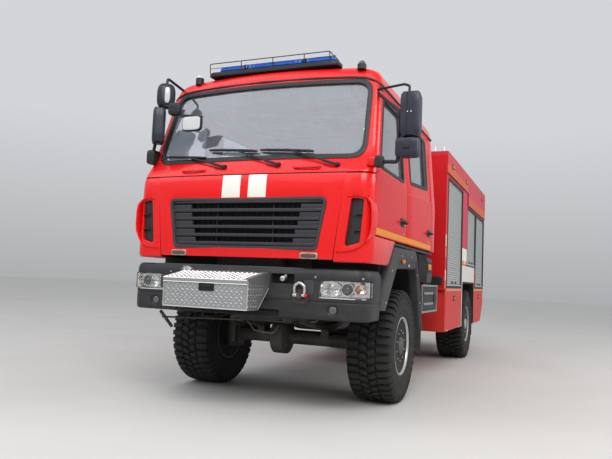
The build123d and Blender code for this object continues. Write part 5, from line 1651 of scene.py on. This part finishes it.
def buildBand():
    b = bodySizes
    shape = newShape()
    lowZ, highZ = b["bandRise"]
    for y0, y1, z in ((b["front"], b["step"] + 0.005, highZ), (b["step"] - 0.005, b["rear"], lowZ)):
        addTube(shape, [(1.2605, y0, z), (1.2605, y1, z)], 0.006, 0, 8)
    addTube(shape, [(1.2605, b["step"], lowZ), (1.2605, b["step"], highZ)], 0.006, 0, 8)
    rail = b["topRail"]
    addTube(shape, [(1.255, b["front"] + 0.005, rail), (1.255, b["rear"] - 0.005, rail)], 0.009, 1, 8)
    for y, mat in b["markers"]:
        addPillow(shape, (1.252, y - 0.055, 2.985), (1.2745, y + 0.055, 3.03), mat, 7)
        addFrame(shape, rectangle(y - 0.056, y + 0.056, 2.984, 3.031), "x", 1.259, 1.267, 0.0, 0.01, 0)
    count, first, step = b["rivets"]
    rivet = newShape()
    addTurned(rivet, (1.262, first, 3.1), "x", [(-0.001, 0.007), (0.002, 0.006), (0.003, 0.003)], 0, 10)
    shape = joinShapes(shape, repeatShape(rivet, count, shift=(0, step, 0), mat=1, material=steel))
    bothSides("bandTrim", shape, [rubber, steelShackle, amberLens, redLens], "body_red")


flapSizes = {
    # front and rear end, bottom, and how much of the rear lower corner is cut away
    "front": (3.765, 5.285, 0.581, 0.0), "rear": (6.775, 8.195, 0.555, 0.36),
    "top": 1.165, "edge": 0.05, "foot": 0.06}


def buildFlaps():
    top, edge = flapSizes["top"], flapSizes["edge"]
    for kind in ("front", "rear"):
        y0, y1, z0, corner = flapSizes[kind]
        middle, low = (y0 + y1) / 2, z0 + flapSizes["foot"]
        front, rear = y0 + edge, y1 - edge
        plate = [(front, low), (rear - corner, low), (rear, low + corner), (rear, top - edge),
                 (front, top - edge)]
        plate = plate if corner else plate[:2] + plate[3:]
        shape = newShape()
        addPrism(shape, roundedOutline(plate, 0.03), "x", 1.248, 1.2535)
        addPillow(shape, (1.246, middle - 0.075, top - 0.165), (1.259, middle + 0.075, top - 0.075), 1, 10)
        # a near-black pad inside the latch housing: painted shade in its recess
        addPillow(shape, (1.25, middle - 0.06, top - 0.15), (1.2615, middle + 0.06, top - 0.09), 2, 8)
        addPillow(shape, (1.256, middle - 0.042, top - 0.13), (1.265, middle + 0.042, top - 0.108), 3, 6)
        for y in (y0 + 0.22, y1 - 0.22 - corner):
            addTurned(shape, (1.25, y, z0 + 0.006), "y", [(-0.06, 0.009), (0.06, 0.009)], 3, 12)
        for side, whole in (("left", shape), ("right", mirrorShape(shape))):
            paints = [skirtPaint, blackPlastic, shadeAndDialBlack, steelShackle]
            piece = makeObject(f"flapPanel_{kind}_{side}", whole, paints)
            ride(bevelled(piece, 0.002, 2), f"flap_{kind}_{side}", "body_red")


# Side boxes behind the front wheels: batteries, air filter and step on the left, fuel tank on the right

sideBoxPads = {
    "battery": ((0.64, 2.3, 0.885), (1.222, 3.275, 1.243), 0, 24),
    "filter": ((0.86, 2.12, 1.262), (1.21, 2.6, 1.6), 1, 14),
    "step": ((0.9, 2.625, 1.25), (1.205, 3.05, 1.585), 2, 12),
    "sideLamp": ((1.195, 2.72, 1.42), (1.222, 2.9, 1.5), 3, 6),
    "lowerRib": ((1.218, 2.42, 0.985), (1.238, 2.98, 1.013), 5, 10),
    "upperRib": ((1.218, 2.42, 1.115), (1.238, 2.98, 1.143), 5, 10),
    "lock": ((1.216, 3.05, 1.02), (1.236, 3.2, 1.11), 4, 8)}
filterRib = {
    "rib": ((0.86, 2.128, 1.258), (1.226, 2.142, 1.602), 14, 8), "count": 14, "pitch": 0.0345,
    "wear": 0.0006}
tankSizes = {
    "outline": (2.42, 3.56, 0.72, 1.24), "radius": 0.1,
    # x, inset of the outline
    "rings": [(-0.56, 0.0), (-0.6, 0.0), (-1.16, 0.0), (-1.2, 0.0), (-1.218, -0.008), (-1.22, -0.022)],
    "strap": (-0.72, -0.67), "strapStep": -0.36, "cap": (-1.05, 2.56, 1.235)}


def buildSideBoxes():
    shape = newShape()
    addPads(shape, sideBoxPads)
    low, high, power, steps = filterRib["rib"]
    rib = newShape()
    addPillow(rib, low, high, 0, power, steps)
    shape = joinShapes(shape, repeatShape(rib, filterRib["count"], shift=(0, filterRib["pitch"], 0),
            wear=filterRib["wear"], mat=1, material=blackPlastic))
    addFrame(shape, rectangle(2.7, 2.92, 1.405, 1.515), "x", 1.195, 1.213, -0.004, 0.012, 4)
    addFrame(shape, rectangle(2.31, 3.265, 0.895, 1.232), "x", 1.214, 1.232, -0.02, 0.004, 5)
    addPrism(shape, rectangle(0.445, 0.66, 0.952, 1.048), "y", 2.51, 3.09, 6)
    paints = [anthracite, blackPlastic, fenderPlastic, amberLens, rubber, treadPlate, chassisBlack]
    fitted("sideBoxes", shape, paints, "chassis_black", "battery_box")
    t = tankSizes
    tank, strap = newShape(), newShape()
    outline = roundedOutline(rectangle(*t["outline"]), t["radius"], 8)
    addLoft(tank, [[(x, y, z) for y, z in grownOutline(outline, grow)] for x, grow in t["rings"]])
    band = grownOutline(outline, 0.004)
    addGrid(strap, [[(x, y, z) for y, z in band] for x in t["strap"]], closeRows=True)
    tank = joinShapes(tank, repeatShape(strap, 2, shift=(t["strapStep"], 0, 0), mat=1, material=steel))
    addTurned(tank, t["cap"], "z", [(0.0, 0.055), (0.03, 0.055), (0.036, 0.045)], 2, 28)
    addPrism(tank, rectangle(-0.62, -0.445, 0.952, 1.048), "y", 2.71, 3.29, 3)
    piece = makeObject("fuelTankShell", tank, [treadPlate, steel, blackPlastic, chassisBlack])
    ride(piece, "chassis", "chassis_black", "fuel_tank")


# Inside the cab

seatSizes = {
    "low": 1.985, "top": 2.12, "backLow": 2.09, "backTop": 2.62, "lean": 0.12, "power": 4.2, "seam": 0.0035,
    "seamsAt": (0.3, 0.7), "bench": (-1.095, 1.095, 2.33, 0.42, 4), "front": (0.352, 0.848), "frontY": 0.85,
    "frontDepth": 0.48}


def seatShape(x0, x1, y0, depth, places):
    z = seatSizes
    power, seam = z["power"], z["seam"]
    shape = newShape()
    wide, rear = (x1 - x0) / places, y0 + depth
    for k in range(places):
        a, b = x0 + wide * k + 0.006, x0 + wide * (k + 1) - 0.006
        seams = [a + (b - a) * share for share in z["seamsAt"]]
        addPillow(shape, (a, y0, z["low"]), (b, rear - 0.05, z["top"]), 0, power, 20)
        for x in seams:
            addTube(shape, [(x, y0 + 0.05, 2.1175), (x, rear - 0.1, 2.1175)], seam, 1, 6)
        back = newShape()
        addPillow(back, (a, rear - 0.125, z["backLow"]), (b, rear + 0.002, z["backTop"]), 0, power, 20)
        for x in seams:
            addTube(back, [(x, rear - 0.122, 2.16), (x, rear - 0.122, 2.55)], seam, 1, 6)
        middle = (a + b) / 2
        addPillow(back, (middle - 0.13, rear - 0.1, 2.6), (middle + 0.13, rear - 0.01, 2.755), 0, 3.5)
        back["points"] = [(x, y + (h - z["backLow"]) * z["lean"], h) for x, y, h in back["points"]]
        shape = joinShapes(shape, back)
    return shape


def buildSeats():
    pads = seatShape(*seatSizes["bench"])
    bases = newShape()
    addPillow(bases, (-1.02, 2.37, 1.652), (1.02, 2.74, 1.995), 0, 20)
    for s in (1, -1):
        a, b = sorted(s * x for x in seatSizes["front"])
        pads = joinShapes(pads, seatShape(a, b, seatSizes["frontY"], seatSizes["frontDepth"], 1))
        addPillow(bases, (a + 0.07, 0.89, 1.652), (b - 0.07, 1.32, 1.995), 0, 14)
        for x in (a + 0.03, b - 0.03):
            addTube(bases, [(x, 1.3, 1.99), (x, 1.42, 2.55)], 0.012, 1, 8)
        belt = [(b - 0.02, 1.4, 2.66), (b - 0.1, 1.27, 2.5), ((a + b) / 2, 1.22, 2.25),
                (a + 0.02, 1.24, 2.06)]
        rows = [[(x - 0.022, y, z), (x + 0.022, y, z), (x + 0.022, y + 0.002, z), (x - 0.022, y + 0.002, z)]
                for x, y, z in rounded(belt, 0.1, 4)]
        addLoft(bases, rows, 2)
    piece = makeObject("seatPads", pads, [seatCloth, rubber], smoothAngle=60)
    ride(piece, "chassis", "seat_fabric", "seats")
    fitted("seatBases", bases, [dashPlastic, blackPlastic, rubber], "black_plastic")


dashPads = {
    "binnacle": ((0.36, 0.4, 2.18), (0.84, 0.6, 2.31), 0, 6),
    "gauges": ((0.4, 0.585, 2.195), (0.8, 0.603, 2.285), 1, 8),
    "radioBox": ((-0.16, 0.5, 2.1), (0.22, 0.575, 2.26), 0, 8),
    "radio": ((-0.13, 0.565, 2.13), (0.19, 0.582, 2.235), 1, 8),
    "wheelBoss": ((0.53, 0.64, 2.21), (0.67, 0.72, 2.275), 2, 3),
    "leftVisor": ((0.25, 0.5, 3.02), (0.85, 0.56, 3.16), 3, 8),
    "rightVisor": ((-0.85, 0.5, 3.02), (-0.25, 0.56, 3.16), 3, 8),
    "brake": ((0.485, 0.42, 1.7), (0.555, 0.46, 1.8), 2, 6),
    "clutch": ((0.645, 0.42, 1.7), (0.715, 0.46, 1.8), 2, 6)}
steeringWheel = {"centre": (0.6, 0.69, 2.24), "radius": 0.215, "rim": 0.0165, "tilt": (0.5, 0.866)}


def buildInterior():
    shape = newShape()
    addPads(shape, dashPads)
    for x in (0.5, 0.7):
        addTurned(shape, (x, 0.6, 2.24), "y", [(0.0, 0.034), (0.006, 0.034), (0.008, 0.028)], 2, 28)
    # the five slots in the dash are near-black: painted shade
    for k in range(5):
        addPillow(shape, (-0.95 + 0.16 * k, 0.545, 2.085), (-0.83 + 0.16 * k, 0.566, 2.135), 1, 8)
    w = steeringWheel
    (x, y, z), r, (back, down) = w["centre"], w["radius"], w["tilt"]
    ring = [(x + r * cos(a), y + r * sin(a) * back, z - r * sin(a) * down)
            for a in (tau * k / 40 for k in range(40))]
    addTube(shape, ring, w["rim"], 2, 10, closed=True)
    addTube(shape, [(-0.7, 0.62, 1.8), (-0.7, 0.62, 2.1)], 0.012, 2, 8)
    paints = [dashPlastic, shadeAndDialBlack, blackPlastic, floorGrey]
    fitted("dashDetails", shape, paints, "black_plastic")
    skin = makeSkin("liningSkin", grow=-0.0425, wall=0.004, lowest=9)
    op = cabOpenings
    doors = [cutter(grownOutline(op[d], 0.02), "x", s * 0.9, s * 1.3) for d in ("doorFront", "doorCrew")
             for s in (1, -1)]
    lining = carve("cabLining", skin, dashPlastic, bevel=0, takeAway=[
        cutter(roundedOutline(grownOutline(op["windscreen"], -0.02), 0.14, 8), "y", -0.3, 0.9),
        cutter(roundedOutline(op["rearWindow"], 0.06), "y", 2.6, 3.1),
        cutter(rectangle(-1.4, 1.4, 2.0, 2.25), "y", -0.2, 3.2), *doors])
    ride(lining, "chassis", "black_plastic")


undersidePads = {
    "transferCase": ((-0.42, 2.12, 0.62), (0.24, 2.7, 1.03), 2, 7),
    "engineSump": ((-0.3, 0.66, 0.815), (0.3, 1.16, 1.2), 0, 8)}
# two air tanks and the flange before the transfer case: centre, offsets along y with radii, material
turnedParts = [((-0.52, 3.35, 0.8), [(-0.02, 0.1), (0.0, 0.12), (0.62, 0.12), (0.64, 0.1)], 2),
        ((0.58, 3.4, 0.93), [(-0.02, 0.06), (0.0, 0.085), (0.5, 0.085), (0.52, 0.06)], 2),
        ((-0.09, 2.1, 0.8), [(-0.03, 0.05), (0.0, 0.09), (0.03, 0.11)], 1)]


def buildUnderside():
    shape = newShape()
    axle = wheelSizes["rear"]
    for s in (1, -1):
        for y, way in ((5.3, -1), (6.76, 1)):      # dampers of the rear axle
            addTube(shape, [(s * 0.52, y, 0.93), (s * 0.55, axle + 0.1 * way, 0.62)], 0.026, 0, 14)
            addTube(shape, [(s * 0.52, y, 0.93), (s * 0.532, axle + 0.42 * way, 0.8)], 0.036, 1, 14)
    coil = [(0.18 + 0.02 * cos(a * 0.5), 0.6 + 0.04 * a, 0.8 + 0.03 * sin(a)) for a in range(24)]
    addTube(shape, coil, 0.008, 0, 6)
    for y in (3.05, 4.05, 5.05):
        addTube(shape, [(0.36, y, 0.95), (0.36, y + 0.9, 0.95)], 0.01, 0, 8)
    addPads(shape, undersidePads)
    for k in range(6):
        addPillow(shape, (-0.4, 2.18 + 0.09 * k, 0.612), (0.22, 2.2 + 0.09 * k, 1.035), 0, 7)
    for k in range(5):
        addPillow(shape, (-0.31, 0.72 + 0.09 * k, 0.808), (0.31, 0.735 + 0.09 * k, 1.0), 2, 8)
        addBolt(shape, (-0.24 + 0.12 * k, 0.665, 1.05), "-y", 0.011, 0.01, 1)
    for centre, profile, mat in turnedParts:
        addTurned(shape, centre, "y", profile, mat, 28 if mat == 2 else 24)
    fitted("undersideParts", shape, [chassisBlack, steelShackle, hubGrey], "chassis_black")


buildShutters()
buildBodyPanels()
buildDeck()
buildBand()
buildFlaps()
buildSideBoxes()
print("body ready")
buildSeats()
buildInterior()
buildUnderside()
print("inside ready")


# CAD parts whose shape is right keep it, and only get their finish here

cadFinish = {
    "chassis_black": chassisBlack, "body_red": bodyPaint, "black_plastic": blackPlastic,
    "floor_grey": floorGrey, "flap_rubber": flapRubber, "checker_plate": treadPlate,
    "tank_plastic": tankPlastic, "ladder_yellow": yellowPaint, "monitor_red": bodyPaint}

nodeFinish = {
    "roof_band": bandPaint, "lower_lockers": skirtPaint, "dashboard": dashPlastic,
    "rear_bumper": steel, "flap_front_left": skirtPaint, "flap_front_right": skirtPaint,
    "flap_rear_left": skirtPaint, "flap_rear_right": skirtPaint, "knuckle_left": hubGrey,
    "knuckle_right": hubGrey, "body_roof": bodyPaint}


def finishCadParts():
    slots = {part["node"]: part["material_slot"] for part in frame["record"]["subparts"]}
    for name, piece in frame["nodes"].items():
        if piece.hide_render:
            continue
        piece.material_slots[0].material = nodeFinish.get(name) or cadFinish[slots[name]]
        weld = piece.modifiers.new("Weld", "WELD")
        weld.merge_threshold = 0.0002
        bevelled(piece, 0.003, 2, 35)


finishCadParts()
for piece in spares:
    bpy.data.objects.remove(piece)


# Stage, light and camera

lights = {
    # place, target, size, power, colour
    "keyLight": ((4.5, -7.0, 9.0), (0, 2, 1.2), (6, 6), 750, (1.0, 0.98, 0.95)),
    "skyLight": ((-7.0, -8.0, 13.5), (0, 0, 2.6), (16, 14), 900, (0.93, 0.94, 1.0)),
    "sideLight": ((11.0, 4.0, 7.0), (0, 4, 1.5), (7, 5), 480, (0.97, 0.98, 1.0))}
# the studio's walls: share of the way up and colour of the two ends, then strength
studio = {
    "low": (0.42, (0.42, 0.42, 0.42, 1)), "high": (0.62, (0.86, 0.88, 0.91, 1)), "strength": 0.75,
    "floorHalf": 60}


def addLight(name, place, target, size, power, colour):
    data = bpy.data.lights.new(name, "AREA")
    data.shape = "RECTANGLE"
    data.size, data.size_y = size
    data.energy = power
    data.color = colour
    lamp = newObject(name, data)
    lamp.location = (place[0] + faceX, place[1] + faceY, place[2])
    aim = Vector(target) - Vector(place)
    lamp.rotation_euler = aim.to_track_quat("-Z", "Y").to_euler()


def buildStage():
    half = studio["floorHalf"]
    shape = newShape()
    addGrid(shape, [[(x, y, 0.0) for x in (-half, half)] for y in (-half, half)])
    floorPale = makeMaterial("floorPale", (0.62, 0.61, 0.59), rough=0.75, grime=0.1, low=5, scale=0.5)
    makeObject("floor", shape, floorPale)
    world = bpy.data.worlds.new("studio")
    bpy.context.scene.world = world
    world.use_nodes = True
    nodes, links = world.node_tree.nodes, world.node_tree.links
    coords = nodes.new("ShaderNodeTexCoord")
    split = nodes.new("ShaderNodeSeparateXYZ")
    ramp = nodes.new("ShaderNodeValToRGB")
    links.new(coords.outputs["Generated"], split.inputs[0])
    links.new(mathNode(nodes, links, "MULTIPLY_ADD", split.outputs["Z"], 0.5, 0.5), ramp.inputs["Fac"])
    for stop, end in zip(ramp.color_ramp.elements, ("low", "high")):
        stop.position, stop.color = studio[end]
    links.new(ramp.outputs["Color"], nodes["Background"].inputs["Color"])
    nodes["Background"].inputs["Strength"].default_value = studio["strength"]
    for name, settings in lights.items():
        addLight(name, *settings)


# the camera that the photograph was taken with, as fitted to it: degrees, and pixels for the focal length
cameraFit = {
    "place": (2.781, -5.062, 1.238), "yaw": 22.808, "pitch": 4.653, "roll": 2.468, "focal": 612.6,
    "width": 612, "sensor": 36, "look": "Medium High Contrast", "exposure": -0.2}


def buildCamera():
    fit = cameraFit
    yaw, pitch, roll = (radians(fit[angle]) for angle in ("yaw", "pitch", "roll"))
    forward = Vector((-sin(yaw) * cos(pitch), cos(yaw) * cos(pitch), sin(pitch)))
    right = forward.cross(Vector((0, 0, 1))).normalized()
    up = right.cross(forward)
    across = right * cos(roll) + up * sin(roll)
    above = up * cos(roll) - right * sin(roll)
    data = bpy.data.cameras.new("photoCamera")
    data.sensor_width = fit["sensor"]
    data.lens = fit["sensor"] * fit["focal"] / fit["width"]
    data.clip_end = 300
    camera = newObject("photoCamera", data)
    scene = bpy.context.scene
    turn = Matrix((across, above, -forward)).transposed().to_4x4()
    x, y, z = fit["place"]
    camera.matrix_world = Matrix.Translation((x + faceX, y + faceY, z)) @ turn
    scene.camera = camera
    scene.view_settings.view_transform = "Standard"
    scene.view_settings.look = fit["look"]
    scene.view_settings.exposure = fit["exposure"]


buildStage()
buildCamera()
print("scene ready")
